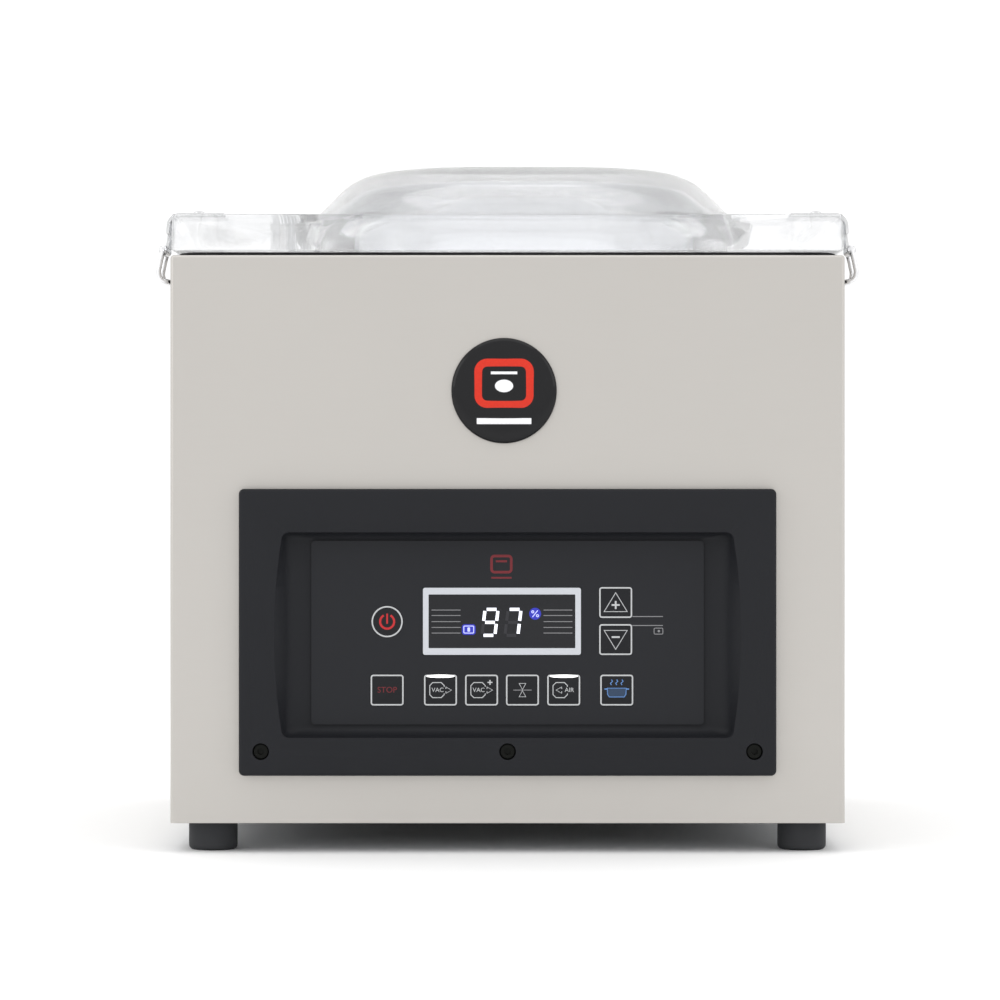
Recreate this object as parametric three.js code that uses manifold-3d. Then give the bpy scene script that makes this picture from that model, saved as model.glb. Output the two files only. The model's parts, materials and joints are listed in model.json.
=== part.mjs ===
// Tabletop vacuum chamber sealer: a stainless case with a clear domed lid, a deep-drawn
// vacuum chamber with a lifting seal bar, a control panel and a vane pump underneath.
// Millimetres, +Z up, front towards -Y. The origin is on the floor, under the middle.
import * as THREE from 'three';
import { mergeVertices } from 'three/addons/utils/BufferGeometryUtils.js';
import Module from 'manifold-3d';

const wasm = await Module();
wasm.setup();

// ---------------------------------------------------------------- driving dimensions
const fit = 0.3; // gap between parts that touch or slide
const sheet = 1.5; // stainless sheet

const caseWidth = 384;
const caseHeight = 323.4;
const frontFace = -224.5;
const rearFace = 207;

const footHeight = 17;
const footRadius = 14;
const footX = 169.5;
const footFrontY = -196;
const footRearY = 178;

const chamberWidth = 330;
const chamberLength = 340;
const chamberDepth = 115;
const chamberRadius = 20;
const chamberY = -20;

const gasketGap = 2.3; // daylight between the deck and the lid, filled by the gasket
const gasketWidth = 9;
const lidWidth = 382.6;
const lidThickness = 21;
const lidRearY = 205;
const domeX = 10; // the dome stands a little right of the middle
const domeHeight = 36.3;
const domeFlat = 83; // half width of the flat crown
const domeStretch = 10; // how much longer than wide the dome is, per half
const domeShoulder = 40; // shoulder radius
const domeSlope = THREE.MathUtils.degToRad(46);
const domeWall = 9;

const hingeX = 120;
const hingeY = 221.5;
const hingePinRadius = 4;

const sealBarLength = 316;
const sealBarY = -170;
const sealBarLift = 6;
const sealBarHeight = 23;
const pistonX = 110;

const bezelWidth = 305;
const bezelHeight = 162.8;
const bezelProud = 8;
const bezelRise = 27.4; // bottom edge of the bezel above the bottom edge of the case
const panelWidth = 223.6;
const panelHeight = 104.7;
const recessWidth = 260;
const recessDepth = 12.3;
const keyTravel = 0.4;

const latchY = -180;
const latchWire = 3;

// ---------------------------------------------------------------- derived places
const caseHalf = caseWidth / 2;
const caseBottom = footHeight;
const caseTop = caseBottom + caseHeight;
const lidBottom = caseTop + gasketGap;
const lidTop = lidBottom + lidThickness;
const hingeZ = lidBottom + 3.5;
const chamberFloor = caseTop - chamberDepth;
const shellRear = rearFace - sheet - fit;
const bezelBottom = caseBottom + bezelRise;
const bezelFront = frontFace - bezelProud;
const recessFloor = bezelFront + recessDepth;
const panelBottom = caseBottom + 56;
const panelMiddle = panelBottom + panelHeight / 2;

// ---------------------------------------------------------------- shape helpers
const X = new THREE.Vector3(1, 0, 0);
const Y = new THREE.Vector3(0, 1, 0);
const Z = new THREE.Vector3(0, 0, 1);

function merged(geometry) {
  const plain = geometry.clone();
  plain.deleteAttribute('normal');
  plain.deleteAttribute('uv');
  return mergeVertices(plain, 1e-4);
}

function solidOf(geometry) {
  const plain = merged(geometry);
  return new wasm.Manifold(new wasm.Mesh({
    numProp: 3,
    vertProperties: new Float32Array(plain.attributes.position.array),
    triVerts: new Uint32Array(plain.index.array),
  }));
}

function geometryOf(solid) {
  const mesh = solid.getMesh();
  const geometry = new THREE.BufferGeometry();
  geometry.setAttribute('position', new THREE.BufferAttribute(mesh.vertProperties, 3));
  geometry.setIndex(new THREE.BufferAttribute(mesh.triVerts, 1));
  geometry.computeVertexNormals();
  return geometry;
}

function join(...pieces) {
  const solids = pieces.map(solidOf);
  return geometryOf(solids.reduce((sum, piece) => sum.add(piece)));
}

function cut(body, ...tools) {
  return geometryOf(tools.map(solidOf).reduce((rest, tool) => rest.subtract(tool), solidOf(body)));
}

// A box between two opposite corners.
function box(x0, x1, y0, y1, z0, z1) {
  const geometry = new THREE.BoxGeometry(x1 - x0, y1 - y0, z1 - z0);
  return geometry.translate((x0 + x1) / 2, (y0 + y1) / 2, (z0 + z1) / 2);
}

// A round bar along one axis, from one place to another, with its centre given in the
// other two axes in x, y, z order.
function bar(axis, radius, from, to, a, b, segments = 24) {
  const geometry = new THREE.CylinderGeometry(radius, radius, to - from, segments);
  const middle = (from + to) / 2;
  if (axis === 'x') return geometry.rotateZ(Math.PI / 2).translate(middle, a, b);
  if (axis === 'y') return geometry.translate(a, middle, b);
  return geometry.rotateX(Math.PI / 2).translate(a, b, middle);
}

function roundedRect(width, height, radius, u = 0, v = 0) {
  const shape = new THREE.Shape();
  const w = width / 2;
  const h = height / 2;
  const quarter = Math.PI / 2;
  shape.moveTo(u - w + radius, v - h);
  shape.absarc(u + w - radius, v - h + radius, radius, -quarter, 0);
  shape.absarc(u + w - radius, v + h - radius, radius, 0, quarter);
  shape.absarc(u - w + radius, v + h - radius, radius, quarter, 2 * quarter);
  shape.absarc(u - w + radius, v - h + radius, radius, 2 * quarter, 3 * quarter);
  return shape;
}

function outline(points) {
  return new THREE.Shape(points.map(([u, v]) => new THREE.Vector2(u, v)));
}

// A shape pushed along one axis. Its own two axes are (y, z), (x, z) or (x, y).
function prism(axis, shape, from, to, curveSegments = 2) {
  const options = { depth: to - from, bevelEnabled: false, curveSegments };
  const geometry = new THREE.ExtrudeGeometry(shape, options);
  const turn = new THREE.Matrix4();
  if (axis === 'x') {
    return geometry.applyMatrix4(turn.makeBasis(Y, Z, X)).translate(from, 0, 0);
  }
  if (axis === 'y') {
    return geometry.applyMatrix4(turn.makeBasis(X, Z, Y.clone().negate())).translate(0, to, 0);
  }
  return geometry.translate(0, 0, from);
}

// A solid through rounded rectangles stacked along Z. Each level has a height, half
// sizes, a corner radius and, if it is off centre, the centre's place.
function loft(levels, cornerSteps = 5) {
  const positions = [];
  const perRing = 4 * (cornerSteps + 1);
  for (const { at, halfU, halfV, radius, u = 0, v = 0 } of levels) {
    for (let corner = 0; corner < 4; corner += 1) {
      const signU = corner === 0 || corner === 3 ? 1 : -1;
      const signV = corner < 2 ? 1 : -1;
      for (let step = 0; step <= cornerSteps; step += 1) {
        const angle = (corner + step / cornerSteps) * Math.PI / 2;
        positions.push(u + signU * (halfU - radius) + radius * Math.cos(angle));
        positions.push(v + signV * (halfV - radius) + radius * Math.sin(angle));
        positions.push(at);
      }
    }
  }
  const index = [];
  for (let level = 0; level + 1 < levels.length; level += 1) {
    for (let i = 0; i < perRing; i += 1) {
      const j = (i + 1) % perRing;
      const low = level * perRing;
      const high = low + perRing;
      index.push(low + i, low + j, high + j, low + i, high + j, high + i);
    }
  }
  const last = (levels.length - 1) * perRing;
  for (let i = 1; i + 1 < perRing; i += 1) {
    index.push(0, i + 1, i);
    index.push(last, last + i, last + i + 1);
  }
  const geometry = new THREE.BufferGeometry();
  geometry.setAttribute('position', new THREE.Float32BufferAttribute(positions, 3));
  geometry.setIndex(index);
  return geometry;
}

// A round section carried along a smooth route.
function tube(points, radius, steps, sides = 8) {
  const curve = new THREE.CatmullRomCurve3(points.map(([x, y, z]) => new THREE.Vector3(x, y, z)));
  const section = new THREE.Shape();
  section.absarc(0, 0, radius, 0, 2 * Math.PI);
  return new THREE.ExtrudeGeometry(section, { steps, extrudePath: curve, curveSegments: sides });
}

// A turned part on the Z axis from its radius and height pairs, axis to axis.
function turned(profile, segments = 24) {
  const points = profile.map(([r, z]) => new THREE.Vector2(r, z));
  return new THREE.LatheGeometry(points, segments).rotateX(Math.PI / 2);
}

// ---------------------------------------------------------------- the scene
const sealer = new THREE.Group();
sealer.name = 'vacuum_chamber_sealer';

function add(parent, name, geometry, look, place = [0, 0, 0]) {
  const material = new THREE.MeshStandardMaterial(look);
  const mesh = new THREE.Mesh(merged(geometry), material);
  mesh.name = name;
  mesh.position.set(...place);
  parent.add(mesh);
  return mesh;
}

const satinSteel = { color: 0xccc9c4, roughness: 0.38, metalness: 0.9 };
const brightSteel = { color: 0xc8c9cb, roughness: 0.22, metalness: 1 };
const zincSteel = { color: 0xa9adb0, roughness: 0.45, metalness: 0.9 };
const aluminium = { color: 0xb9bcc0, roughness: 0.4, metalness: 0.85 };
const clearAcrylic = { color: 0xf0f4f6, roughness: 0.05, metalness: 0 };
const blackPlastic = { color: 0x2e3032, roughness: 0.55, metalness: 0 };
const panelFilm = { color: 0x303133, roughness: 0.4, metalness: 0 };
const footRubber = { color: 0x3e3f43, roughness: 0.75, metalness: 0 };
const sealRubber = { color: 0x35363a, roughness: 0.7, metalness: 0 };
const whitePlastic = { color: 0xf2f2ee, roughness: 0.5, metalness: 0 };
const circuitBoard = { color: 0x1f5a38, roughness: 0.6, metalness: 0 };
const blackGloss = { color: 0x141416, roughness: 0.12, metalness: 0 };
const castGrey = { color: 0x6d7378, roughness: 0.6, metalness: 0.5 };
const tapeBrown = { color: 0x8a6a45, roughness: 0.6, metalness: 0 };
const siliconeRed = { color: 0xb5482f, roughness: 0.65, metalness: 0 };

// ---------------------------------------------------------------- control panel layout
const rowZ = panelBottom + 19.6;
const squareKey = [18.8, 17.6];
const keys = [
  { name: 'key_stop', x: -68.6, z: rowZ, size: squareKey },
  { name: 'key_vacuum', x: -38.2, z: rowZ, size: squareKey },
  { name: 'key_vacuum_plus', x: -14.8, z: rowZ, size: squareKey },
  { name: 'key_seal', x: 8.5, z: rowZ, size: squareKey },
  { name: 'key_air', x: 32, z: rowZ, size: squareKey },
  { name: 'key_pot', x: 62.2, z: rowZ, size: squareKey },
  { name: 'key_plus', x: 61.6, z: panelBottom + 69.5, size: squareKey },
  { name: 'key_minus', x: 61.6, z: panelBottom + 48.4, size: squareKey },
  { name: 'key_power', x: -68.6, z: panelBottom + 58.6, radius: 8.9 },
];
const display = { x: -3.2, z: panelBottom + 58.8, width: 90, height: 38.2 };
const bezelScrewX = [-140, 0, 140];
const bezelScrewZ = bezelBottom + 13.8;

// The outline of a key, grown by a margin for the window it moves in.
function keyOutline(key, margin) {
  const shape = new THREE.Shape();
  if (key.radius) {
    shape.absarc(0, 0, key.radius + margin, 0, 2 * Math.PI);
    return shape;
  }
  const [width, height] = key.size;
  return roundedRect(width + 2 * margin, height + 2 * margin, 1.5 + margin);
}

// ---------------------------------------------------------------- case
const latchSlotZ = lidBottom - 16.1;
const moduleX = 140;
const moduleZ = caseBottom + 62;

function caseShell() {
  const front = roundedRect(caseWidth, caseHeight + 20, 2, 0, caseBottom + caseHeight / 2 - 10);
  const block = cut(
    prism('y', front, frontFace, shellRear, 2),
    box(-caseWidth, caseWidth, frontFace - 1, rearFace, caseBottom - 30, caseBottom),
  );
  const inside = box(
    -caseHalf + sheet, caseHalf - sheet, frontFace + sheet, rearFace + 10,
    caseBottom - 5, caseTop - sheet,
  );
  const mouthGap = 2 * (sheet + fit);
  const mouth = roundedRect(
    chamberWidth + mouthGap, chamberLength + mouthGap, chamberRadius + mouthGap / 2, 0, chamberY,
  );
  const panelHole = roundedRect(recessWidth + 8.6, 124, 4, 0, panelMiddle);
  const slots = [-1, 1].map((side) => box(
    side * caseHalf - 5, side * caseHalf + 5, latchY - 17, latchY + 17,
    latchSlotZ - 5, latchSlotZ + 5,
  ));
  const screwHoles = bezelScrewX.map((x) => bar('y', 2.3, frontFace - 5, frontFace + 5, x, bezelScrewZ, 12));
  return cut(
    block, inside, prism('z', mouth, caseTop - 10, caseTop + 10, 3),
    prism('y', panelHole, frontFace - 5, frontFace + 10), ...slots, ...screwHoles,
  );
}

// Rows of slots with round ends, long side along X.
function slotRows(axis, width, height, centres, from, to) {
  return centres.map(([u, v]) => prism(axis, roundedRect(width, height, height / 2 - 0.01, u, v), from, to, 1));
}

function basePlate() {
  const plate = box(
    -caseHalf + sheet + fit, caseHalf - sheet - fit, frontFace + sheet + fit, rearFace - sheet - fit,
    caseBottom, caseBottom + sheet,
  );
  const studHoles = [];
  for (const x of [-footX, footX]) {
    for (const y of [footFrontY, footRearY]) {
      studHoles.push(bar('z', 3.5, caseBottom - 5, caseBottom + 5, x, y, 12));
    }
  }
  const centres = [];
  for (const x of [-80, 80]) {
    for (let row = 0; row < 6; row += 1) {
      centres.push([x, -120 + 16 * row]);
    }
  }
  return cut(plate, ...studHoles, ...slotRows('z', 90, 5, centres, caseBottom - 5, caseBottom + 5));
}

function rearPanel() {
  const plate = box(-caseHalf, caseHalf, rearFace - sheet, rearFace, caseBottom, caseTop - 1);
  const centres = [];
  for (const x of [-95, 15]) {
    for (let row = 0; row < 7; row += 1) {
      centres.push([x, caseBottom + 70 + 14 * row]);
    }
  }
  const moduleHole = box(
    moduleX - 13.4, moduleX + 13.4, rearFace - 5, rearFace + 5, moduleZ - 25.4, moduleZ + 25.4,
  );
  return cut(plate, moduleHole, ...slotRows('y', 86, 5, centres, rearFace - 5, rearFace + 5));
}

function foot() {
  const bottom = 0;
  const top = footHeight - fit;
  const pad = turned([
    [0, bottom], [footRadius - 2.2, bottom], [footRadius - 0.6, bottom + 0.6],
    [footRadius, bottom + 2.2], [footRadius, top], [0, top],
  ]);
  return join(pad, bar('z', 3, top - 1, footHeight + 8, 0, 0, 12));
}

const caseGroup = new THREE.Group();
sealer.add(caseGroup);
add(caseGroup, 'case_shell', caseShell(), satinSteel);
add(caseGroup, 'base_plate', basePlate(), zincSteel);
add(caseGroup, 'rear_panel', rearPanel(), satinSteel);
const corners = [
  ['foot_front_left', -footX, footFrontY],
  ['foot_front_right', footX, footFrontY],
  ['foot_rear_left', -footX, footRearY],
  ['foot_rear_right', footX, footRearY],
];
for (const [name, x, y] of corners) {
  add(caseGroup, name, foot(), footRubber, [x, y, 0]);
}

// ---------------------------------------------------------------- vacuum chamber
const nozzleX = 100;
const nozzleZ = chamberFloor + 60;
const chamberRear = chamberY + chamberLength / 2;

function chamberRect(grow) {
  return roundedRect(
    chamberWidth + 2 * grow, chamberLength + 2 * grow, chamberRadius + grow, 0, chamberY,
  );
}

function vacuumChamber() {
  const flangeTop = caseTop - sheet - fit;
  const body = join(
    prism('z', chamberRect(sheet), chamberFloor - sheet, caseTop, 3),
    prism('z', chamberRect(10), flangeTop - sheet, flangeTop, 2),
  );
  const stems = [-pistonX, pistonX].map(
    (x) => bar('z', 4.5, chamberFloor - 5, chamberFloor + 5, x, sealBarY, 12),
  );
  return cut(
    body,
    prism('z', chamberRect(0), chamberFloor, caseTop + 5, 3),
    bar('y', 9.4, chamberRear - 5, chamberRear + 5, nozzleX, nozzleZ, 16),
    ...stems,
  );
}

function gasketRing() {
  const width = caseWidth - 8;
  const front = frontFace + 4;
  const rear = chamberRear + 28;
  const middle = (front + rear) / 2;
  const outer = roundedRect(width, rear - front, 14, 0, middle);
  const inner = roundedRect(
    width - 2 * gasketWidth, rear - front - 2 * gasketWidth, 14 - gasketWidth, 0, middle,
  );
  const low = caseTop + fit;
  const high = lidBottom - fit;
  return cut(prism('z', outer, low, high), prism('z', inner, low - 5, high + 5));
}

function fillerPlate() {
  const plate = roundedRect(chamberWidth - 10, 296, chamberRadius - 5, 0, chamberY + 17);
  const low = chamberFloor + fit;
  const holes = [-90, 90].map((x) => bar('z', 12.5, low - 5, low + 20, x, chamberY + 100, 20));
  return cut(prism('z', plate, low, low + 15), ...holes);
}

function suctionNozzle() {
  const inside = chamberRear - 3.3;
  const outside = chamberRear + 26;
  const flange = bar('y', 14, inside, chamberRear - fit, nozzleX, nozzleZ, 20);
  const neck = bar('y', 9, inside, outside, nozzleX, nozzleZ, 20);
  return cut(join(flange, neck), bar('y', 5.5, inside - 5, outside + 5, nozzleX, nozzleZ, 16));
}

const chamberGroup = new THREE.Group();
sealer.add(chamberGroup);
add(chamberGroup, 'vacuum_chamber', vacuumChamber(), satinSteel);
add(chamberGroup, 'chamber_gasket', gasketRing(), sealRubber);
add(chamberGroup, 'filler_plate', fillerPlate(), whitePlastic);
add(chamberGroup, 'suction_nozzle', suctionNozzle(), brightSteel);

// ---------------------------------------------------------------- seal bar and its lifters
const counterBarBottom = lidBottom - 18.7;
const tapeTop = counterBarBottom - 0.5 - sealBarLift;
const sealBarTop = tapeTop - 1 - fit;
const sealBarBottom = sealBarTop - sealBarHeight;

function sealCylinder() {
  const low = chamberFloor + fit;
  const high = chamberFloor + 42;
  const body = join(
    bar('z', 15, low, high, 0, 0, 20),
    bar('z', 18, low, low + 6, 0, 0, 20),
    bar('z', 4, chamberFloor - 14, low + 2, 0, 0, 12),
  );
  return cut(body, bar('z', 6.3, chamberFloor + 11, high + 5, 0, 0, 16));
}

const pistonLow = chamberFloor + 18;
const piston = bar('z', 6, pistonLow, sealBarBottom - fit, 0, 0, 16);

const sealBarBody = cut(
  box(-sealBarLength / 2, sealBarLength / 2, -7, 7, sealBarBottom, sealBarTop),
  box(-sealBarLength / 2 - 5, sealBarLength / 2 + 5, -9, -5.5, sealBarBottom + 7, sealBarBottom + 14),
  box(-sealBarLength / 2 - 5, sealBarLength / 2 + 5, 5.5, 9, sealBarBottom + 7, sealBarBottom + 14),
);
const tape = box(-sealBarLength / 2 + 2, sealBarLength / 2 - 2, -5.5, 5.5, sealBarTop + fit, tapeTop);

const sealGroup = new THREE.Group();
sealGroup.position.y = sealBarY;
sealer.add(sealGroup);
add(sealGroup, 'seal_bar', sealBarBody, aluminium);
add(sealGroup, 'seal_tape', tape, tapeBrown);
for (const [side, x] of [['left', -pistonX], ['right', pistonX]]) {
  add(sealGroup, `seal_cylinder_${side}`, sealCylinder(), aluminium, [x, 0, 0]);
  add(sealGroup, `seal_piston_${side}`, piston, brightSteel, [x, 0, 0]);
}

// ---------------------------------------------------------------- lid
// Half width of the dome at each height, the crown first: an arc round the shoulder and
// a straight flank down to the plate. The inner face is the same line, a wall inwards.
function domeProfile(inset) {
  const radius = domeShoulder - inset;
  const centreZ = lidTop + domeHeight - domeShoulder;
  const steps = 4;
  const levels = [];
  for (let step = 0; step <= steps; step += 1) {
    const angle = domeSlope * step / steps;
    levels.push([domeFlat + radius * Math.sin(angle), centreZ + radius * Math.cos(angle)]);
  }
  const [half, height] = levels[steps];
  levels.push([half + (height - lidTop) / Math.tan(domeSlope), lidTop]);
  return levels.reverse();
}

function domeLevels(inset, footLevels) {
  return [...footLevels, ...domeProfile(inset)].map(([half, at]) => ({
    at, halfU: half, halfV: half + domeStretch, radius: 0.72 * half, u: domeX, v: chamberY,
  }));
}

function lidPlate() {
  const depth = lidRearY - frontFace;
  const plate = prism(
    'z', roundedRect(lidWidth, depth, 3, 0, (lidRearY + frontFace) / 2), lidBottom, lidTop, 1,
  );
  const baseHalf = domeProfile(0)[0][0];
  const mouthHalf = domeProfile(domeWall)[0][0] + 4;
  const dome = loft(domeLevels(0, [[baseHalf, lidTop - 8]]));
  const hollow = loft(domeLevels(domeWall, [[mouthHalf, lidBottom - 2]]));
  return cut(join(plate, dome), hollow);
}

const holder = cut(
  box(-160, 160, sealBarY - 6, sealBarY + 6, counterBarBottom + 3.7, lidBottom - fit),
  box(-165, 165, sealBarY - 3, sealBarY + 3, counterBarBottom, counterBarBottom + 6),
);
const counterBar = join(
  box(-158, 158, sealBarY - 4.5, sealBarY + 4.5, counterBarBottom, counterBarBottom + 3.4),
  box(-158, 158, sealBarY - 2.7, sealBarY + 2.7, counterBarBottom + 3, counterBarBottom + 5.7),
);

const lidGroup = new THREE.Group();
sealer.add(lidGroup);
add(lidGroup, 'lid_plate', lidPlate(), clearAcrylic);
add(lidGroup, 'counter_bar_holder', holder, aluminium);
add(lidGroup, 'silicone_counter_bar', counterBar, siliconeRed);

// ---------------------------------------------------------------- lid hinges
const leafWidth = 33;
const earX = 26;
const boreRadius = hingePinRadius + fit;

// The bracket on the rear panel: a plate, two ears and the holes for the pin.
function hingeBracket() {
  const plateFront = rearFace + fit;
  const plate = box(-30, 30, plateFront, plateFront + 3, hingeZ - 50, hingeZ - 6);
  const ear = new THREE.Shape();
  ear.moveTo(plateFront, hingeZ - 40);
  ear.lineTo(hingeY + 2, hingeZ - 30);
  ear.absarc(hingeY, hingeZ, 11, -Math.PI / 4, Math.PI * 0.75);
  ear.lineTo(plateFront, hingeZ - 6);
  const ears = [-earX, earX].map((x) => prism('x', ear, x - 2, x + 2, 5));
  return cut(join(plate, ...ears), bar('x', boreRadius, -40, 40, hingeY, hingeZ, 16));
}

function hingePin() {
  const head = bar('x', 6, earX + 2.3, earX + 4.8, hingeY, hingeZ, 16);
  return join(bar('x', hingePinRadius, -earX - 4, earX + 3, hingeY, hingeZ, 16), head);
}

// The torsion spring round the pin, between one ear and the knuckle.
function hingeSpring() {
  const turns = 4;
  const stepsPerTurn = 10;
  const radius = 6.6;
  const route = new THREE.Curve();
  route.getPoint = (t, target = new THREE.Vector3()) => {
    const angle = 2 * Math.PI * turns * t;
    return target.set(
      -22.3 + 9.6 * t, hingeY + radius * Math.cos(angle), hingeZ + radius * Math.sin(angle),
    );
  };
  const wire = new THREE.Shape();
  wire.absarc(0, 0, 1, 0, 2 * Math.PI);
  const options = { steps: turns * stepsPerTurn, extrudePath: route, curveSegments: 3 };
  return new THREE.ExtrudeGeometry(wire, options);
}

// The leaf bolted on the lid, with its arm over the rear edge down to the knuckle.
function hingeLeaf() {
  const low = lidTop + fit;
  const high = low + 4;
  const side = new THREE.Shape();
  side.moveTo(lidRearY - 50, low);
  side.lineTo(lidRearY + 1.2, low);
  side.lineTo(hingeY - 9, hingeZ);
  side.absarc(hingeY, hingeZ, 9, Math.PI, Math.PI * 2.2);
  side.lineTo(lidRearY + 10, high);
  side.lineTo(lidRearY - 50, high);
  const body = prism('x', side, -10.5, -10.5 + leafWidth, 5);
  return cut(body, bar('x', boreRadius, -40, 40, hingeY, hingeZ, 16));
}

for (const [side, x] of [['left', -hingeX], ['right', hingeX]]) {
  const hinge = new THREE.Group();
  hinge.position.x = x;
  sealer.add(hinge);
  add(hinge, `hinge_bracket_${side}`, hingeBracket(), zincSteel);
  add(hinge, `hinge_pin_${side}`, hingePin(), brightSteel);
  add(hinge, `hinge_spring_${side}`, hingeSpring(), brightSteel);
  add(hinge, `hinge_leaf_${side}`, hingeLeaf(), brightSteel);
}

// ---------------------------------------------------------------- side latches
// Each latch is drawn for the right side and turned half round for the left one. Local
// x = 0 is the side of the case, and the bail's pivot is outside it.
const bailX = 6.6;
const bailZ = lidBottom + 2.6;
const bailHalf = 13;
const bailFoot = bailZ - 18.7;
const knuckleHalf = 10;

function latchStrap() {
  const top = lidTop + fit;
  const side = new THREE.Shape();
  side.moveTo(-29, top);
  side.lineTo(-1, top);
  side.absarc(-3.2, top - 4.6, 5, 1, 0.15, true);
  side.lineTo(bailX - 2.9, bailZ);
  side.absarc(bailX, bailZ, 2.9, Math.PI, 2 * Math.PI);
  side.lineTo(4.4, top - 4.6);
  side.absarc(-3.2, top - 5.4, 7.4, 0.1, Math.PI / 2);
  side.lineTo(-29, top + 2);
  const strap = prism('y', side, -20, 20, 3);
  const shoulders = [-1, 1].map((end) => box(
    0.5, 20, Math.min(end * knuckleHalf, end * 30), Math.max(end * knuckleHalf, end * 30),
    bailZ - 10, bailZ + 9,
  ));
  return cut(strap, ...shoulders, bar('y', latchWire / 2 + fit, -30, 30, bailX, bailZ, 12));
}

function latchBail() {
  const half = [
    [bailX, bailHalf, bailZ], [bailX + 1.8, bailHalf, bailZ - 8.2],
    [bailX + 2.6, bailHalf, bailZ - 13.7], [bailX - 0.6, bailHalf - 0.4, bailZ - 17.6],
    [2.1, bailHalf - 5, bailFoot],
  ];
  const other = half.map(([x, y, z]) => [x, -y, z]).reverse();
  const loop = tube([...half, ...other], latchWire / 2, 28, 4);
  return join(loop, bar('y', latchWire / 2, -bailHalf, bailHalf, bailX, bailZ, 10));
}

for (const [side, x, turn] of [['left', -caseHalf, Math.PI], ['right', caseHalf, 0]]) {
  const latch = new THREE.Group();
  latch.position.set(x, latchY, 0);
  latch.rotation.z = turn;
  sealer.add(latch);
  add(latch, `latch_strap_${side}`, latchStrap(), brightSteel);
  add(latch, `latch_bail_${side}`, latchBail(), brightSteel);
}

// ---------------------------------------------------------------- control panel
// The bezel is a plate on the case front with a tray behind it. A dished recess leads in
// from the opening to the film, quick at the rim and flat at the bottom.
function recess() {
  const steps = 6;
  const sideRun = (recessWidth - panelWidth) / 2;
  const topRun = 4.6;
  const bottomRun = 6.7;
  const rim = (angle) => {
    const run = Math.cos(angle);
    return {
      at: -(bezelFront + recessDepth * Math.sin(angle)),
      halfU: panelWidth / 2 + fit + sideRun * run,
      halfV: panelHeight / 2 + fit + (topRun + bottomRun) / 2 * run,
      radius: 2 + 4 * run,
      v: panelMiddle + (topRun - bottomRun) / 2 * run,
    };
  };
  const levels = [{ ...rim(0), at: -(bezelFront - 2) }];
  for (let step = 0; step <= steps; step += 1) {
    levels.push(rim(Math.PI / 2 * step / steps));
  }
  const turn = new THREE.Matrix4().makeBasis(X, Z, Y.clone().negate());
  return loft(levels.reverse(), 3).applyMatrix4(turn);
}

function frontBezel() {
  const middle = bezelBottom + bezelHeight / 2;
  const trayBack = recessFloor + 2;
  const plate = prism('y', roundedRect(bezelWidth, bezelHeight, 3, 0, middle), bezelFront, frontFace - fit);
  const tray = prism(
    'y', roundedRect(recessWidth + 7, 121, 3, 0, panelMiddle), frontFace - 2, trayBack,
  );
  const posts = [[-96, -40], [96, -40], [-96, 40], [96, 40]].map(
    ([x, z]) => bar('y', 3, trayBack - 1, boardFront - fit, x, panelMiddle + z, 12),
  );
  const windows = [
    prism('y', roundedRect(display.width + 1, display.height + 1, 1, display.x, display.z), -240, -200),
    ...keys.map((key) => bar('y', 3.5, -240, -200, key.x, key.z, 12)),
  ];
  const counterbores = bezelScrewX.flatMap((x) => [
    bar('y', 4.75, bezelFront - 2, bezelFront + 5.5, x, bezelScrewZ, 20),
    bar('y', 2.3, bezelFront, frontFace + 5, x, bezelScrewZ, 12),
  ]);
  return cut(join(plate, tray, ...posts), recess(), ...windows, ...counterbores);
}

const filmFront = recessFloor - 1.3;
const filmBack = recessFloor - fit;
const keyFront = filmFront - 0.3;
const keyBack = recessFloor - keyTravel - 0.15;
const boardFront = recessFloor + 7.7;

function controlMembrane() {
  const film = prism('y', roundedRect(panelWidth, panelHeight, 2, 0, panelMiddle), filmFront, filmBack);
  const windows = keys.map((key) => {
    const hole = keyOutline(key, 0.3);
    return prism('y', hole, -5, 5, key.radius ? 10 : 1).translate(key.x, filmFront, key.z);
  });
  const screen = roundedRect(display.width + 0.6, display.height + 0.6, 1, display.x, display.z);
  return cut(film, prism('y', screen, filmFront - 5, filmBack + 5), ...windows);
}

function controlBoard() {
  const board = box(-105, 105, boardFront, boardFront + 1.6, panelMiddle - 46, panelMiddle + 46);
  const switches = keys.flatMap((key) => [
    box(key.x - 3, key.x + 3, boardFront - 3, boardFront + 0.5, key.z - 3, key.z + 3),
    bar('y', 1.7, recessFloor + 0.4, boardFront - 2, key.x, key.z, 10),
  ]);
  const chips = [[-40, 30, 16], [20, 34, 12], [80, 0, 14]].map(([x, z, size]) => box(
    x - size / 2, x + size / 2, boardFront + 1, boardFront + 5,
    panelMiddle + z - size / 2, panelMiddle + z + size / 2,
  ));
  return join(board, ...switches, ...chips);
}

function bezelScrew() {
  const head = bar('y', 4.4, bezelFront + 1.2, bezelFront + 5.2, 0, 0, 20);
  const shank = bar('y', 2, bezelFront + 5, frontFace + 9, 0, 0, 12);
  return cut(join(head, shank), bar('y', 2, bezelFront, bezelFront + 3.4, 0, 0, 6));
}

const panelGroup = new THREE.Group();
sealer.add(panelGroup);
add(panelGroup, 'front_bezel', frontBezel(), blackPlastic);
add(panelGroup, 'control_membrane', controlMembrane(), panelFilm);
add(panelGroup, 'control_board', controlBoard(), circuitBoard);
const screen = roundedRect(display.width, display.height, 1, display.x, display.z);
add(panelGroup, 'display_module', prism('y', screen, filmFront - fit, boardFront - fit), whitePlastic);
bezelScrewX.forEach((x, i) => {
  add(panelGroup, `bezel_screw_${i + 1}`, bezelScrew(), blackGloss, [x, 0, bezelScrewZ]);
});
for (const key of keys) {
  const plate = prism('y', keyOutline(key, 0), keyFront, keyBack, key.radius ? 10 : 1);
  add(panelGroup, key.name, plate, panelFilm, [key.x, 0, key.z]);
}

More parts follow.
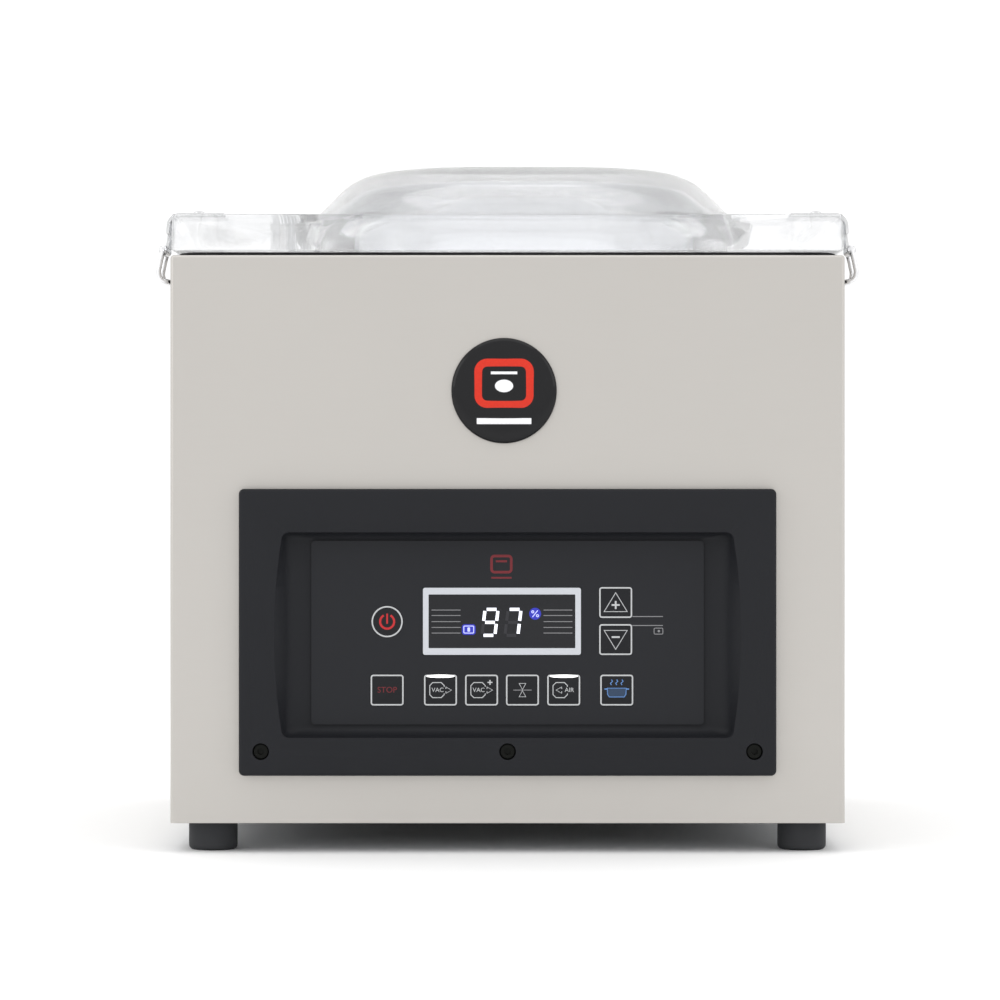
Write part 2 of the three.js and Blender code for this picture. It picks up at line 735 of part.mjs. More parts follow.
// The round badge, a shallow dome glued on the case front.
const badgeX = -2;
const badgeZ = caseBottom + 246.1;
const badgeRadius = 30;
const badgeDisc = turned([
  [0, 0], [badgeRadius, 0], [badgeRadius, 1.2], [badgeRadius - 1.4, 2.2],
  [badgeRadius - 12, 3.2], [0, 3.5],
], 32).rotateX(Math.PI / 2);
add(panelGroup, 'badge', badgeDisc, blackGloss, [badgeX, frontFace - fit, badgeZ]);

// ---------------------------------------------------------------- machine room
const roomFloor = caseBottom + sheet + fit;
const shaftY = 50;
const shaftZ = 92;
const motorRadius = 56;

// The motor stands on a foot. Cooling fins run along it, a terminal box sits on top, and
// a cowl with a round grille covers the fan at its left end.
function pumpMotor() {
  const left = -150;
  const right = 5;
  const fins = [];
  const finCount = 10;
  for (let i = 0; i < finCount; i += 1) {
    const fin = box(left + 4, right - 4, -1.5, 1.5, motorRadius - 3, motorRadius + 5);
    fins.push(fin.rotateX(2 * Math.PI * i / finCount).translate(0, shaftY, shaftZ));
  }
  const body = join(
    bar('x', motorRadius, left, right, shaftY, shaftZ, 24),
    bar('x', motorRadius + 3, left - 32, left + 2, shaftY, shaftZ, 24),
    box(-110, -50, shaftY - 24, shaftY + 24, shaftZ + motorRadius - 5, shaftZ + motorRadius + 22),
    box(-120, -40, shaftY - 45, shaftY + 45, roomFloor, shaftZ - 40),
    ...fins,
  );
  const grille = [];
  for (let i = 0; i < 6; i += 1) {
    const angle = Math.PI / 3 * i;
    const y = shaftY + 30 * Math.cos(angle);
    const z = shaftZ + 30 * Math.sin(angle);
    grille.push(bar('x', 10, left - 40, left - 25, y, z, 12));
  }
  return cut(
    body,
    bar('x', motorRadius, left - 30, left, shaftY, shaftZ, 24),
    bar('x', 6.5, left - 5, left + 40, shaftY, shaftZ, 16),
    ...grille,
  );
}

function motorFan() {
  const hub = bar('x', 14, -170, -158, 0, 0, 16);
  const shaft = bar('x', 6, -172, -114, 0, 0, 16);
  const blades = [];
  for (let i = 0; i < 6; i += 1) {
    const blade = box(-8, 8, -1, 1, 12, 50).rotateZ(0.5).translate(-163, 0, 0);
    blades.push(blade.rotateX(Math.PI / 3 * i));
  }
  return join(hub, shaft, ...blades);
}

// The vane pump: a ribbed block with an end cover, feet and a port on top.
function vacuumPump() {
  const low = shaftZ - 56;
  const block = prism('x', roundedRect(126, 116, 18, shaftY, low + 58), 9, 118);
  const cover = bar('x', 44, 116, 130, shaftY, shaftZ, 32);
  const ribs = [];
  for (let x = 28; x < 110; x += 24) {
    ribs.push(box(x, x + 4, shaftY - 69, shaftY + 69, low + 20, low + 96));
  }
  return join(
    block, cover, ...ribs,
    box(14, 110, shaftY - 50, shaftY - 30, roomFloor, low + 20),
    box(14, 110, shaftY + 30, shaftY + 50, roomFloor, low + 20),
    bar('z', 12, low + 110, low + 128, 60, shaftY + 38, 20),
    bar('z', 11, low + 110, low + 120, 60, shaftY - 30, 20),
  );
}

const filterZ = shaftZ + 96;
const oilFilter = join(
  bar('x', 26, 12, 112, shaftY - 30, filterZ, 28),
  bar('x', 28, 108, 120, shaftY - 30, filterZ, 28),
  bar('z', 10, shaftZ + 64 + fit, filterZ - 10, 60, shaftY - 30, 20),
);

const transformer = join(
  box(-160, -90, -150, -100, roomFloor, roomFloor + 62),
  prism('y', roundedRect(44, 52, 6, -125, roomFloor + 32), -166, -84),
  box(-166, -84, -156, -94, roomFloor, roomFloor + 4),
);

// The valve block with two solenoid coils, each under a hose port.
const valveX = [105, 137];
const valveY = -115;
const valveTop = roomFloor + 92;
const valveBlock = join(
  box(86, 156, -140, -90, roomFloor, roomFloor + 45),
  ...valveX.flatMap((x) => [
    bar('z', 13, roomFloor + 44, roomFloor + 80, x, valveY, 20),
    bar('z', 4, roomFloor + 78, valveTop, x, valveY, 12),
  ]),
);

const stemEnd = chamberFloor - 14 - fit;
function airHose(from, to) {
  const turnZ = stemEnd - 34;
  return tube([
    [from, sealBarY, stemEnd], [from, sealBarY, stemEnd - 14],
    [(3 * from + to) / 4, sealBarY + 16, turnZ], [(from + 3 * to) / 4, valveY - 12, turnZ - 6],
    [to, valveY, valveTop + 26], [to, valveY, valveTop + fit],
  ], 4, 22, 4);
}

const hoseStart = chamberRear + 26 + fit;
const pumpPort = shaftZ + 72 + fit;
const vacuumHose = tube([
  [nozzleX, hoseStart, nozzleZ], [nozzleX, hoseStart + 9, nozzleZ],
  [nozzleX - 1, hoseStart + 17, nozzleZ - 22], [nozzleX - 8, hoseStart - 6, nozzleZ - 78],
  [nozzleX - 26, shaftY + 58, pumpPort + 34], [60, shaftY + 38, pumpPort + 24],
  [60, shaftY + 38, pumpPort + 10], [60, shaftY + 38, pumpPort],
], 9, 26, 4);

const roomGroup = new THREE.Group();
sealer.add(roomGroup);
add(roomGroup, 'pump_motor', pumpMotor(), castGrey);
add(roomGroup, 'motor_fan', motorFan(), whitePlastic, [0, shaftY, shaftZ]);
add(roomGroup, 'vacuum_pump', vacuumPump(), castGrey);
add(roomGroup, 'exhaust_filter', oilFilter, zincSteel);
add(roomGroup, 'transformer', transformer, castGrey);
add(roomGroup, 'valve_block', valveBlock, aluminium);
add(roomGroup, 'vacuum_hose', vacuumHose, sealRubber);
add(roomGroup, 'air_hose_left', airHose(-pistonX, valveX[0]), sealRubber);
add(roomGroup, 'air_hose_right', airHose(pistonX, valveX[1]), sealRubber);

// ---------------------------------------------------------------- mains inlet and switch
// One snap-in module: the inlet socket below, the rocker's window above.
const rockerZ = 11.5;
const rockerPivotY = rearFace - 3;
const rockerTilt = THREE.MathUtils.degToRad(8);

function powerInlet() {
  const back = rearFace - 17;
  const face = rearFace + fit + 2.4;
  const body = join(
    box(-13, 13, back, face - 1, -25, 25),
    prism('y', roundedRect(30, 54, 3), rearFace + fit, face),
  );
  const pins = [-6, 0, 6].map((x) => box(x - 1, x + 1, back + 2, face - 4, -16, -13));
  return join(
    cut(
      body,
      prism('y', roundedRect(22, 17, 3, 0, -14), back + 3, face + 5),
      box(-10.5, 10.5, back + 3, face + 5, rockerZ - 9.5, rockerZ + 9.5),
    ),
    ...pins,
  );
}

function rockerSwitch() {
  const side = outline([[-8, -4], [-8, 4], [1, 8.6], [4.2, 8.6], [6, 0], [4.2, -8.6], [1, -8.6]]);
  return prism('x', side, -9.9, 9.9);
}

const inletGroup = new THREE.Group();
inletGroup.position.set(moduleX, 0, moduleZ);
sealer.add(inletGroup);
add(inletGroup, 'power_inlet', powerInlet(), blackPlastic);
const rocker = add(inletGroup, 'rocker_switch', rockerSwitch(), blackGloss, [0, rockerPivotY, rockerZ]);
rocker.rotation.x = -rockerTilt;

export default sealer;
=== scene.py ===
"""A tabletop vacuum chamber sealer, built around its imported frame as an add-on layout."""

import json
import math
from contextlib import contextmanager

import bmesh
import bpy
from bpy.props import FloatProperty, FloatVectorProperty, PointerProperty
from mathutils import Matrix, Vector


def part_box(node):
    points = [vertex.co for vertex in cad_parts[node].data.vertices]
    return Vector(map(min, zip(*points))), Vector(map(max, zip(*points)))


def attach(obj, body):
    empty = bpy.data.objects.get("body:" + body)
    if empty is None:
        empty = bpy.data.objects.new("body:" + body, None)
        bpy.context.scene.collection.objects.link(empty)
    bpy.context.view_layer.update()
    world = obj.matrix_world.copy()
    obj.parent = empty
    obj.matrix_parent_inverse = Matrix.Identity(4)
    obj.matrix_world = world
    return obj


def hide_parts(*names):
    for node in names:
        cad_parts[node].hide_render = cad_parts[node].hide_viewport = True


bl_info = {
    "name": "Vacuum Chamber Sealer",
    "version": (1, 0, 0),
    "blender": (4, 5, 0),
    "location": "View3D > Sidebar > Sealer",
    "description": "Builds the looks of a tabletop vacuum chamber sealer",
    "category": "Object",
}

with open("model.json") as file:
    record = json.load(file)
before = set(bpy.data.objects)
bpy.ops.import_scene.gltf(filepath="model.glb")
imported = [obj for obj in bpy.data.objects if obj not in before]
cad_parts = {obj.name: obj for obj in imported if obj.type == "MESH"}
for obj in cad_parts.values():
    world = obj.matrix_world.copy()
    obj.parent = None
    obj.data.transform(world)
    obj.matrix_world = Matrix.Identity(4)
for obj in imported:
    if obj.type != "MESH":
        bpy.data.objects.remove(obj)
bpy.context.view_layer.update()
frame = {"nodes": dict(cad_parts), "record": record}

MM = 0.001
LID_THICKNESS = 21 * MM
LID_INDEX = 1.3  # below the 1.49 of acrylic, so that the thick plate stays bright
LID_ALPHA = 0.6  # the rest of the light goes straight through
DOME_Y = -20 * MM
DOME_SLOPE = math.radians(46)
DOME_CORNER = 0.72  # corner radius of the dome, as a part of its half width
KEYS = [name for name in sorted(frame["nodes"]) if name.startswith("key_")]
SCREWS = [name for name in sorted(frame["nodes"]) if name.startswith("bezel_screw_")]
FEET = [name for name in sorted(frame["nodes"]) if name.startswith("foot_")]
SIDES = {"left": -1, "right": 1}


def at(*values):
    """Millimetres as metres."""
    return tuple(value * MM for value in values)


def middle(node):
    """The centre of a CAD node's box."""
    low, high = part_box(node)
    return (low + high) / 2


# ---------------------------------------------------------------- sizes and colours


def length(name, default, description):
    """A length in metres that a user may change."""
    return FloatProperty(name=name, description=description, default=default, unit="LENGTH", precision=5)


def colour(name, default, description):
    """A linear colour that a user may change."""
    return FloatVectorProperty(
        name=name, description=description, default=default, subtype="COLOR", size=3, min=0, max=1
    )


class SealerSizes(bpy.types.PropertyGroup):
    sheet: length("Sheet", 1.5 * MM, "Thickness of the stainless sheet")
    fold: length("Fold radius", 2.0 * MM, "Outside radius of the folds of the case")
    bezel_edge: length("Bezel edge", 1.8 * MM, "Radius round the front of the bezel")
    dish_bow: length("Dish bow", 4.2 * MM, "How far the sides of the recess bow outwards")
    line: length("Printed line", 0.84 * MM, "Width of the lines printed on the panel")
    ink: length("Ink", 0.08 * MM, "Thickness of a printed line")
    lid_edge: length("Lid edge", 0.9 * MM, "Radius of the polished edges of the lid")
    dome_wall: length("Dome wall", 9.0 * MM, "Wall of the lid's dome")
    dome_shift: length("Dome shift", 10.0 * MM, "How far right of the middle the dome stands")
    dome_flat: length("Dome flat", 83.0 * MM, "Half width of the dome's crown")
    dome_stretch: length("Dome stretch", 10.0 * MM, "How much longer than wide the dome is, per half")
    dome_shoulder: length("Dome shoulder", 40.0 * MM, "Radius of the dome's shoulder")
    dome_fillet: length("Dome fillet", 7.0 * MM, "Radius where the dome leaves the plate")
    wire: length("Bail wire", 1.5 * MM, "Radius of the wire of the side bails")


class SealerColours(bpy.types.PropertyGroup):
    steel: colour("Case steel", (0.512, 0.492, 0.465), "Satin stainless of the case")
    bezel: colour("Bezel", (0.0106, 0.0113, 0.0140), "Moulded plastic of the bezel")
    film: colour("Panel film", (0.0138, 0.0146, 0.0177), "Printed film of the panel")
    rubber: colour("Rubber", (0.035, 0.036, 0.039), "Feet and seals")
    acrylic: colour("Acrylic", (0.88, 0.893, 0.918), "Clear lid")
    ink_white: colour("White ink", (0.50, 0.51, 0.52), "Outlines on the panel")
    ink_red: colour("Red ink", (0.50, 0.018, 0.022), "Red signs")
    ink_blue: colour("Blue ink", (0.12, 0.27, 0.60), "Blue signs")
    glow_white: colour("White light", (0.86, 0.88, 1.0), "Lit digits and lamps")
    glow_blue: colour("Blue light", (0.035, 0.05, 0.95), "Lit signs of the display")


# ---------------------------------------------------------------- modelling tools


def alone(piece):
    """Makes one object the only selected one, and active."""
    if bpy.context.mode != "OBJECT":
        bpy.ops.object.mode_set(mode="OBJECT")
    bpy.ops.object.select_all(action="DESELECT")
    if piece is not None:
        piece.select_set(True)
        bpy.context.view_layer.objects.active = piece
    return piece


def settle(name):
    """Names the new object and puts its place, turn and scale into its mesh."""
    piece = bpy.context.object
    if piece.type != "MESH":
        bpy.ops.object.convert(target="MESH")
        piece = bpy.context.object
    piece.name = name
    piece.data.name = name
    bpy.ops.object.transform_apply(location=True, rotation=True, scale=True)
    return piece


def block(name, low, high):
    """A box between two corners."""
    low, high = Vector(low), Vector(high)
    alone(None)
    bpy.ops.mesh.primitive_cube_add(size=1, location=(low + high) / 2)
    bpy.context.object.scale = high - low
    return settle(name)


def rod(name, radius, start, end, sides=32):
    """A round bar between two points."""
    start, end = Vector(start), Vector(end)
    turn = (end - start).to_track_quat("Z", "Y").to_euler()
    alone(None)
    bpy.ops.mesh.primitive_cylinder_add(
        radius=radius, depth=(end - start).length, vertices=sides, location=(start + end) / 2, rotation=turn
    )
    return settle(name)


@contextmanager
def editing(piece):
    """Edit mode on one object, with nothing selected in it."""
    alone(piece)
    bpy.ops.object.mode_set(mode="EDIT")
    bpy.ops.mesh.select_all(action="DESELECT")
    yield
    bpy.ops.object.mode_set(mode="OBJECT")


def choose(kind, test):
    """Selects the faces, by centre and normal, or the edges, by their two ends, that pass a test."""
    bpy.ops.mesh.select_mode(type=kind)
    mesh = bmesh.from_edit_mesh(bpy.context.object.data)
    mesh.faces.ensure_lookup_table()
    for part in [*mesh.verts, *mesh.edges, *mesh.faces]:
        part.select_set(False)
    if kind == "FACE":
        for face in mesh.faces:
            if test(face.calc_center_median(), face.normal):
                face.select_set(True)
    else:
        for edge in mesh.edges:
            if test(edge.verts[0].co, edge.verts[1].co):
                edge.select_set(True)
    bmesh.update_edit_mesh(bpy.context.object.data)


def near(a, b, slack=1e-5):
    return abs(a - b) < slack


def along(axis, a, b):
    """True if an edge runs along one axis."""
    others = [i for i in range(3) if i != axis]
    return all(near(a[i], b[i]) for i in others)


def round_edges(piece, test, radius, steps=4):
    """Rounds the edges that pass a test."""
    with editing(piece):
        choose("EDGE", test)
        bpy.ops.mesh.bevel(offset=radius, offset_type="OFFSET", segments=steps, profile=0.5, affect="EDGES")
    return piece


def rounded_block(name, low, high, radius, axis=2, steps=6):
    """A box whose edges along one axis are rounded."""
    return round_edges(block(name, low, high), lambda a, b: along(axis, a, b), radius, steps)


def applied(piece, kind, **settings):
    """Adds a modifier, sets it and applies it."""
    alone(piece)
    modifier = piece.modifiers.new(kind.title(), kind)
    for key, value in settings.items():
        setattr(modifier, key, value)
    bpy.ops.object.modifier_apply(modifier=modifier.name)
    return piece


def soften(piece, width, steps=2, angle=32):
    """Rounds every sharp edge a little."""
    return applied(
        piece, "BEVEL", width=width, segments=steps, limit_method="ANGLE",
        angle_limit=math.radians(angle), miter_outer="MITER_ARC", use_clamp_overlap=True,
    )


def combine(piece, operation, *others):
    for other in others:
        applied(piece, "BOOLEAN", operation=operation, object=other, solver="EXACT")
        bpy.data.objects.remove(other)
    return piece


def carve(piece, *tools):
    return combine(piece, "DIFFERENCE", *tools)


def fuse(piece, *others):
    return combine(piece, "UNION", *others)


def joined(name, *parts):
    """Several meshes as one piece."""
    alone(parts[0])
    for part in parts:
        part.select_set(True)
    bpy.ops.object.join()
    piece = bpy.context.object
    piece.name = name
    piece.data.name = name
    return piece


def copied(piece, name, shift=(0, 0, 0), turn=0.0):
    """A copy with its own mesh, turned about Z at the origin and then moved."""
    copy = piece.copy()
    copy.data = piece.data.copy()
    bpy.context.scene.collection.objects.link(copy)
    copy.data.transform(Matrix.Translation(Vector(shift)) @ Matrix.Rotation(turn, 4, "Z"))
    copy.name = name
    copy.data.name = name
    return copy


def outward(piece):
    """Merges doubles and points every face of a closed shape outwards."""
    with editing(piece):
        bpy.ops.mesh.select_all(action="SELECT")
        bpy.ops.mesh.remove_doubles(threshold=1e-6)
        bpy.ops.mesh.normals_make_consistent(inside=False)
    return piece


def stepped(levels, start, centre=(0.0, 0.0)):
    """Extrudes the selected face through levels of height and two half sizes."""
    height, half_x, half_y = start
    for next_height, next_x, next_y in levels:
        bpy.ops.mesh.extrude_region_move(TRANSFORM_OT_translate={"value": (0, 0, next_height - height)})
        bpy.ops.transform.resize(
            value=(next_x / half_x, next_y / half_y, 1),
            center_override=(centre[0], centre[1], next_height),
        )
        height, half_x, half_y = next_height, next_x, next_y


def turned(name, profile, place=(0, 0, 0), axis=(0, 0, 1), sides=48):
    """A turned part from radius and height pairs, closed at both ends, put on an axis."""
    radius, height = profile[0]
    alone(None)
    bpy.ops.mesh.primitive_circle_add(
        vertices=sides, radius=radius, fill_type="NGON", location=(0, 0, height)
    )
    piece = settle(name)
    with editing(piece):
        bpy.ops.mesh.select_all(action="SELECT")
        stepped([(h, r, r) for r, h in profile[1:]], (height, radius, radius))
    outward(piece)
    piece.data.transform(Vector(axis).to_track_quat("Z", "Y").to_matrix().to_4x4())
    piece.data.transform(Matrix.Translation(Vector(place)))
    return piece


def drawn(name, lines, radius, closed=False, smooth=False, flat=1.0, place=(0, 0, 0), facing=True):
    """Round strokes along lines drawn in a plane, flattened, and stood up to face the front."""
    alone(None)
    bpy.ops.curve.primitive_nurbs_path_add()
    curve = bpy.context.object.data
    curve.splines.clear()
    for points in lines:
        spline = curve.splines.new("BEZIER" if smooth else "POLY")
        knots = spline.bezier_points if smooth else spline.points
        knots.add(len(points) - 1)
        for knot, point in zip(knots, points):
            spot = tuple(point) if len(point) == 3 else (*point, 0)
            knot.co = spot if smooth else (*spot, 1)
            if smooth:
                knot.handle_left_type = "AUTO"
                knot.handle_right_type = "AUTO"
        spline.use_cyclic_u = closed
    curve.dimensions = "3D"
    curve.bevel_depth = radius
    curve.bevel_resolution = 2 if facing else 4
    curve.resolution_u = 8
    curve.use_fill_caps = True
    bpy.ops.object.convert(target="MESH")
    bpy.context.object.scale = (1, 1, flat)
    if facing:
        bpy.context.object.rotation_euler = (math.pi / 2, 0, 0)
    bpy.context.object.location = place
    return settle(name)


def arc(centre, radius, start, end, steps):
    """Points on an arc, angles in degrees."""
    angles = [math.radians(start + (end - start) * i / steps) for i in range(steps + 1)]
    return [(centre[0] + radius * math.cos(a), centre[1] + radius * math.sin(a)) for a in angles]


def outline(half_x, half_y, radius, centre=(0.0, 0.0), steps=4, bow=0.0, side=0):
    """Points round a rectangle with round corners, its left and right sides bowed outwards."""
    corners = [(1, 1, 0), (-1, 1, 90), (-1, -1, 180), (1, -1, 270)]
    points = []
    for sign_x, sign_y, start in corners:
        place = (centre[0] + sign_x * (half_x - radius), centre[1] + sign_y * (half_y - radius))
        points += arc(place, radius, start, start + 90, steps)
        if start in (90, 270):
            for i in range(1, side + 1):
                part = 1 - 2 * i / (side + 1)
                swell = bow * (1 - part * part)
                points.append((
                    centre[0] + sign_x * (half_x + swell),
                    centre[1] + sign_y * part * (half_y - radius),
                ))
    return points


def ellipse(half_x, half_y, centre=(0.0, 0.0), steps=24):
    """Points round an ellipse."""
    angles = [2 * math.pi * i / steps for i in range(steps)]
    return [(centre[0] + half_x * math.cos(a), centre[1] + half_y * math.sin(a)) for a in angles]


def lofted(name, rings, facing=False):
    """A closed solid through outlines of one point count, given with their heights in order."""
    count = len(rings[0][0])
    loops = [drawn(name, [[(*point, height) for point in points]], 0, closed=True, facing=False)
             for points, height in rings]
    piece = joined(name, *loops)
    with editing(piece):
        bpy.ops.mesh.select_mode(type="EDGE")
        mesh = bmesh.from_edit_mesh(piece.data)
        for ring in range(len(rings)):
            wanted = {ring, ring + 1} if ring + 1 < len(rings) else {ring}
            for closing in ([ring] if ring in (0, len(rings) - 1) else []):
                pick_rings(mesh, {closing}, count)
                bpy.ops.mesh.edge_face_add()
                mesh = bmesh.from_edit_mesh(piece.data)
            if len(wanted) == 2:
                pick_rings(mesh, wanted, count)
                bpy.ops.mesh.bridge_edge_loops(type="PAIRS")
                mesh = bmesh.from_edit_mesh(piece.data)
    outward(piece)
    return stood(piece) if facing else piece


def pick_rings(mesh, wanted, count):
    """Selects the edges of whole rings, by the order in which the rings were made."""
    mesh.verts.index_update()
    for part in [*mesh.verts, *mesh.edges, *mesh.faces]:
        part.select_set(False)
    for edge in mesh.edges:
        first, second = (vert.index // count for vert in edge.verts)
        if first == second and first in wanted:
            edge.select_set(True)
    bmesh.update_edit_mesh(bpy.context.object.data)


def stood(piece):
    """Stands a piece drawn lying down up, its top towards the front."""
    piece.data.transform(Matrix.Rotation(math.pi / 2, 4, "X"))
    return piece


def plate(name, points, place, thickness):
    """A thin plate with an outline that faces the front, centred in depth on its place."""
    piece = lofted(name, [(points, -thickness / 2), (points, thickness / 2)], facing=True)
    piece.data.transform(Matrix.Translation(Vector(place)))
    return piece


def written(name, words, size, place, thickness):
    """Plain lettering that faces the front."""
    alone(None)
    bpy.ops.object.text_add()
    text = bpy.context.object
    text.data.body = words
    text.data.size = size
    text.data.align_x = "CENTER"
    text.data.align_y = "CENTER"
    text.data.extrude = thickness / 2
    text.data.resolution_u = 4
    bpy.ops.object.convert(target="MESH")
    bpy.context.object.rotation_euler = (math.pi / 2, 0, 0)
    bpy.context.object.location = place
    return outward(settle(name))


def strip(name, points, width, thickness, place=(0, 0, 0)):
    """A bent strip of sheet: an outline in X and Z, carried along Y."""
    alone(None)
    bpy.ops.curve.primitive_nurbs_path_add()
    curve = bpy.context.object.data
    curve.splines.clear()
    spline = curve.splines.new("POLY")
    spline.points.add(len(points) - 1)
    for knot, (x, z) in zip(spline.points, points):
        knot.co = (x, z, 0, 1)
    curve.dimensions = "2D"
    curve.fill_mode = "NONE"
    curve.extrude = width / 2
    bpy.ops.object.convert(target="MESH")
    bpy.context.object.rotation_euler = (math.pi / 2, 0, 0)
    bpy.context.object.location = place
    piece = settle(name)
    with editing(piece):
        bpy.ops.mesh.select_all(action="SELECT")
        bpy.ops.mesh.remove_doubles(threshold=1e-6)
    applied(piece, "SOLIDIFY", thickness=thickness, offset=0)
    return outward(piece)


def finish_piece(piece, material, body, slot, *nodes, smooth=35):
    """Shades a piece, gives it its material, and ties it to its body and CAD nodes. The slot is not used."""
    alone(piece)
    bpy.ops.object.shade_smooth_by_angle(angle=math.radians(smooth))
    piece.data.materials.clear()
    piece.data.materials.append(material)
    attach(piece, body)
    if nodes:
        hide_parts(*nodes)
    return piece


# ---------------------------------------------------------------- shader maths


class Wire:
    """A shader value that takes part in Python arithmetic."""

    def __init__(self, finish, socket):
        self.finish = finish
        self.socket = socket

    def math(self, operation, *values):
        return self.finish.node("ShaderNodeMath", {"operation": operation}, dict(enumerate([self, *values])))

    def __add__(self, other):
        return self.math("ADD", other)

    def __sub__(self, other):
        return self.math("SUBTRACT", other)

    def __mul__(self, other):
        return self.math("MULTIPLY", other)

    def __rsub__(self, other):
        return self.math("MULTIPLY", -1) + other

    __radd__ = __add__
    __rmul__ = __mul__


class Finish:
    """One material and its nodes."""

    def __init__(self, name):
        self.material = bpy.data.materials.new(name)
        self.material.use_nodes = True
        self.tree = self.material.node_tree
        self.tree.nodes.clear()
        self.place = self.node("ShaderNodeTexCoord", output="Object")

    def node(self, kind, settings=None, sockets=None, output=0):
        """Adds a node: its settings first, then the values or links of its sockets."""
        node = self.tree.nodes.new(kind)
        for key, value in (settings or {}).items():
            if key == "stops":
                ramp = node.color_ramp.elements
                while len(ramp) < len(value):
                    ramp.new(1)
                for stop, (position, shade) in zip(ramp, value):
                    stop.position = position
                    stop.color = (*shade, 1) if len(shade) == 3 else shade
            else:
                setattr(node, key, value)
        for key, value in (sockets or {}).items():
            socket = node.inputs[key]
            if isinstance(value, Wire):
                self.tree.links.new(value.socket, socket)
            elif hasattr(socket.default_value, "__len__") and len(socket.default_value) == 4:
                socket.default_value = (*value, 1) if len(value) == 3 else value
            else:
                socket.default_value = value
        return Wire(self, node.outputs[output])

    def stretched(self, scale, shift=(0, 0, 0)):
        """Object coordinates moved and scaled differently along each axis."""
        return self.node("ShaderNodeMapping", None, {"Vector": self.place, "Location": shift, "Scale": scale})

    def noise(self, scale, vector=None, detail=4.0, roughness=0.55):
        sockets = {"Vector": vector or self.place, "Scale": scale, "Detail": detail, "Roughness": roughness}
        return self.node("ShaderNodeTexNoise", None, sockets)

    def cells(self, scale, vector=None, feature="F1"):
        return self.node(
            "ShaderNodeTexVoronoi", {"feature": feature}, {"Vector": vector or self.place, "Scale": scale},
            output="Distance",
        )

    def mix(self, factor, first, second):
        """A colour between two colours."""
        return self.node(
            "ShaderNodeMix", {"data_type": "RGBA"}, {0: factor, 6: first, 7: second}, output=2
        )

    def bump(self, height, strength, distance):
        return self.node(
            "ShaderNodeBump", None, {"Height": height, "Strength": strength, "Distance": distance}
        )

    def surface(self, **sockets):
        """The shader itself. Socket names are given with underscores for spaces."""
        named = {key.replace("_", " "): value for key, value in sockets.items()}
        if "IOR Level" in named:
            named["Specular IOR Level"] = named.pop("IOR Level")
        shader = self.node("ShaderNodeBsdfPrincipled", None, named)
        output = self.tree.nodes.new("ShaderNodeOutputMaterial")
        self.tree.links.new(shader.socket, output.inputs["Surface"])
        return self.material


def shade(base, factor):
    """A colour made lighter or darker."""
    return tuple(min(1.0, part * factor) for part in base)


def satin_steel(name, base, grain=(1, 1, 1), roughness=0.36, metallic=0.72):
    """Satin sheet: fine scratches along the grain, soft cloudiness, and a few faint marks."""
    finish = Finish(name)
    brushed = finish.noise(900, finish.stretched(grain), detail=6, roughness=0.7)
    cloud = finish.noise(9, detail=3)
    marks = finish.noise(45, finish.stretched((1, 1, 0.25)), detail=5)
    tone = finish.mix(brushed * 0.6 + cloud * 0.4, shade(base, 0.965), shade(base, 1.035))
    rough = roughness + brushed * 0.10 - cloud * 0.05 + marks * 0.04
    normal = finish.bump(brushed, 0.10, 0.00006)
    return finish.surface(Base_Color=tone, Metallic=metallic, Roughness=rough, Normal=normal)


def bright_steel(name, base=(0.66, 0.665, 0.67), roughness=0.16):
    """Polished stainless with hairline scratches and faint smudges."""
    finish = Finish(name)
    hairs = finish.noise(700, finish.stretched((1, 0.08, 0.3)), detail=5)
    smudge = finish.noise(60, detail=4)
    tone = finish.mix(smudge, shade(base, 0.93), shade(base, 1.05))
    rough = roughness + hairs * 0.08 + smudge * 0.10
    return finish.surface(
        Base_Color=tone, Metallic=1.0, Roughness=rough, Normal=finish.bump(hairs, 0.15, 0.00004)
    )


def plated_steel(name, base=(0.40, 0.41, 0.42)):
    """Zinc plate: angular spangles with their own brightness."""
    finish = Finish(name)
    spangle = finish.node(
        "ShaderNodeTexVoronoi", {"feature": "F1"}, {"Vector": finish.place, "Scale": 220.0}, output="Color"
    )
    value = finish.node("ShaderNodeSeparateColor", None, {"Color": spangle})
    tone = finish.mix(value, shade(base, 0.84), shade(base, 1.14))
    rough = 0.36 + value * 0.16 + finish.noise(40) * 0.06
    return finish.surface(Base_Color=tone, Metallic=0.9, Roughness=rough)


def anodised(name, base=(0.55, 0.56, 0.58)):
    """Satin anodised aluminium with extrusion lines along X."""
    finish = Finish(name)
    lines = finish.noise(800, finish.stretched((0.02, 1, 1)), detail=4)
    cloud = finish.noise(25)
    tone = finish.mix(lines * 0.7 + cloud * 0.3, shade(base, 0.93), shade(base, 1.06))
    return finish.surface(
        Base_Color=tone, Metallic=0.85, Roughness=0.34 + lines * 0.12,
        Normal=finish.bump(lines, 0.2, 0.00005),
    )


def moulded_plastic(name, base, roughness=0.5, level=0.2, scale=2600, relief=0.22):
    """Moulded plastic: spark-eroded grain, slow tone changes and lightly rubbed spots."""
    finish = Finish(name)
    grain = finish.cells(scale)
    pits = finish.noise(scale * 0.6, detail=3)
    rubbed = finish.noise(14, detail=5, roughness=0.6)
    tone = finish.mix(rubbed * 0.7 + pits * 0.3, shade(base, 0.88), shade(base, 1.14))
    rough = roughness + grain * 0.10 - rubbed * 0.07
    return finish.surface(
        Base_Color=tone, Roughness=rough, IOR_Level=level,
        Normal=finish.bump(grain + pits * 0.5, relief, 0.00004),
    )


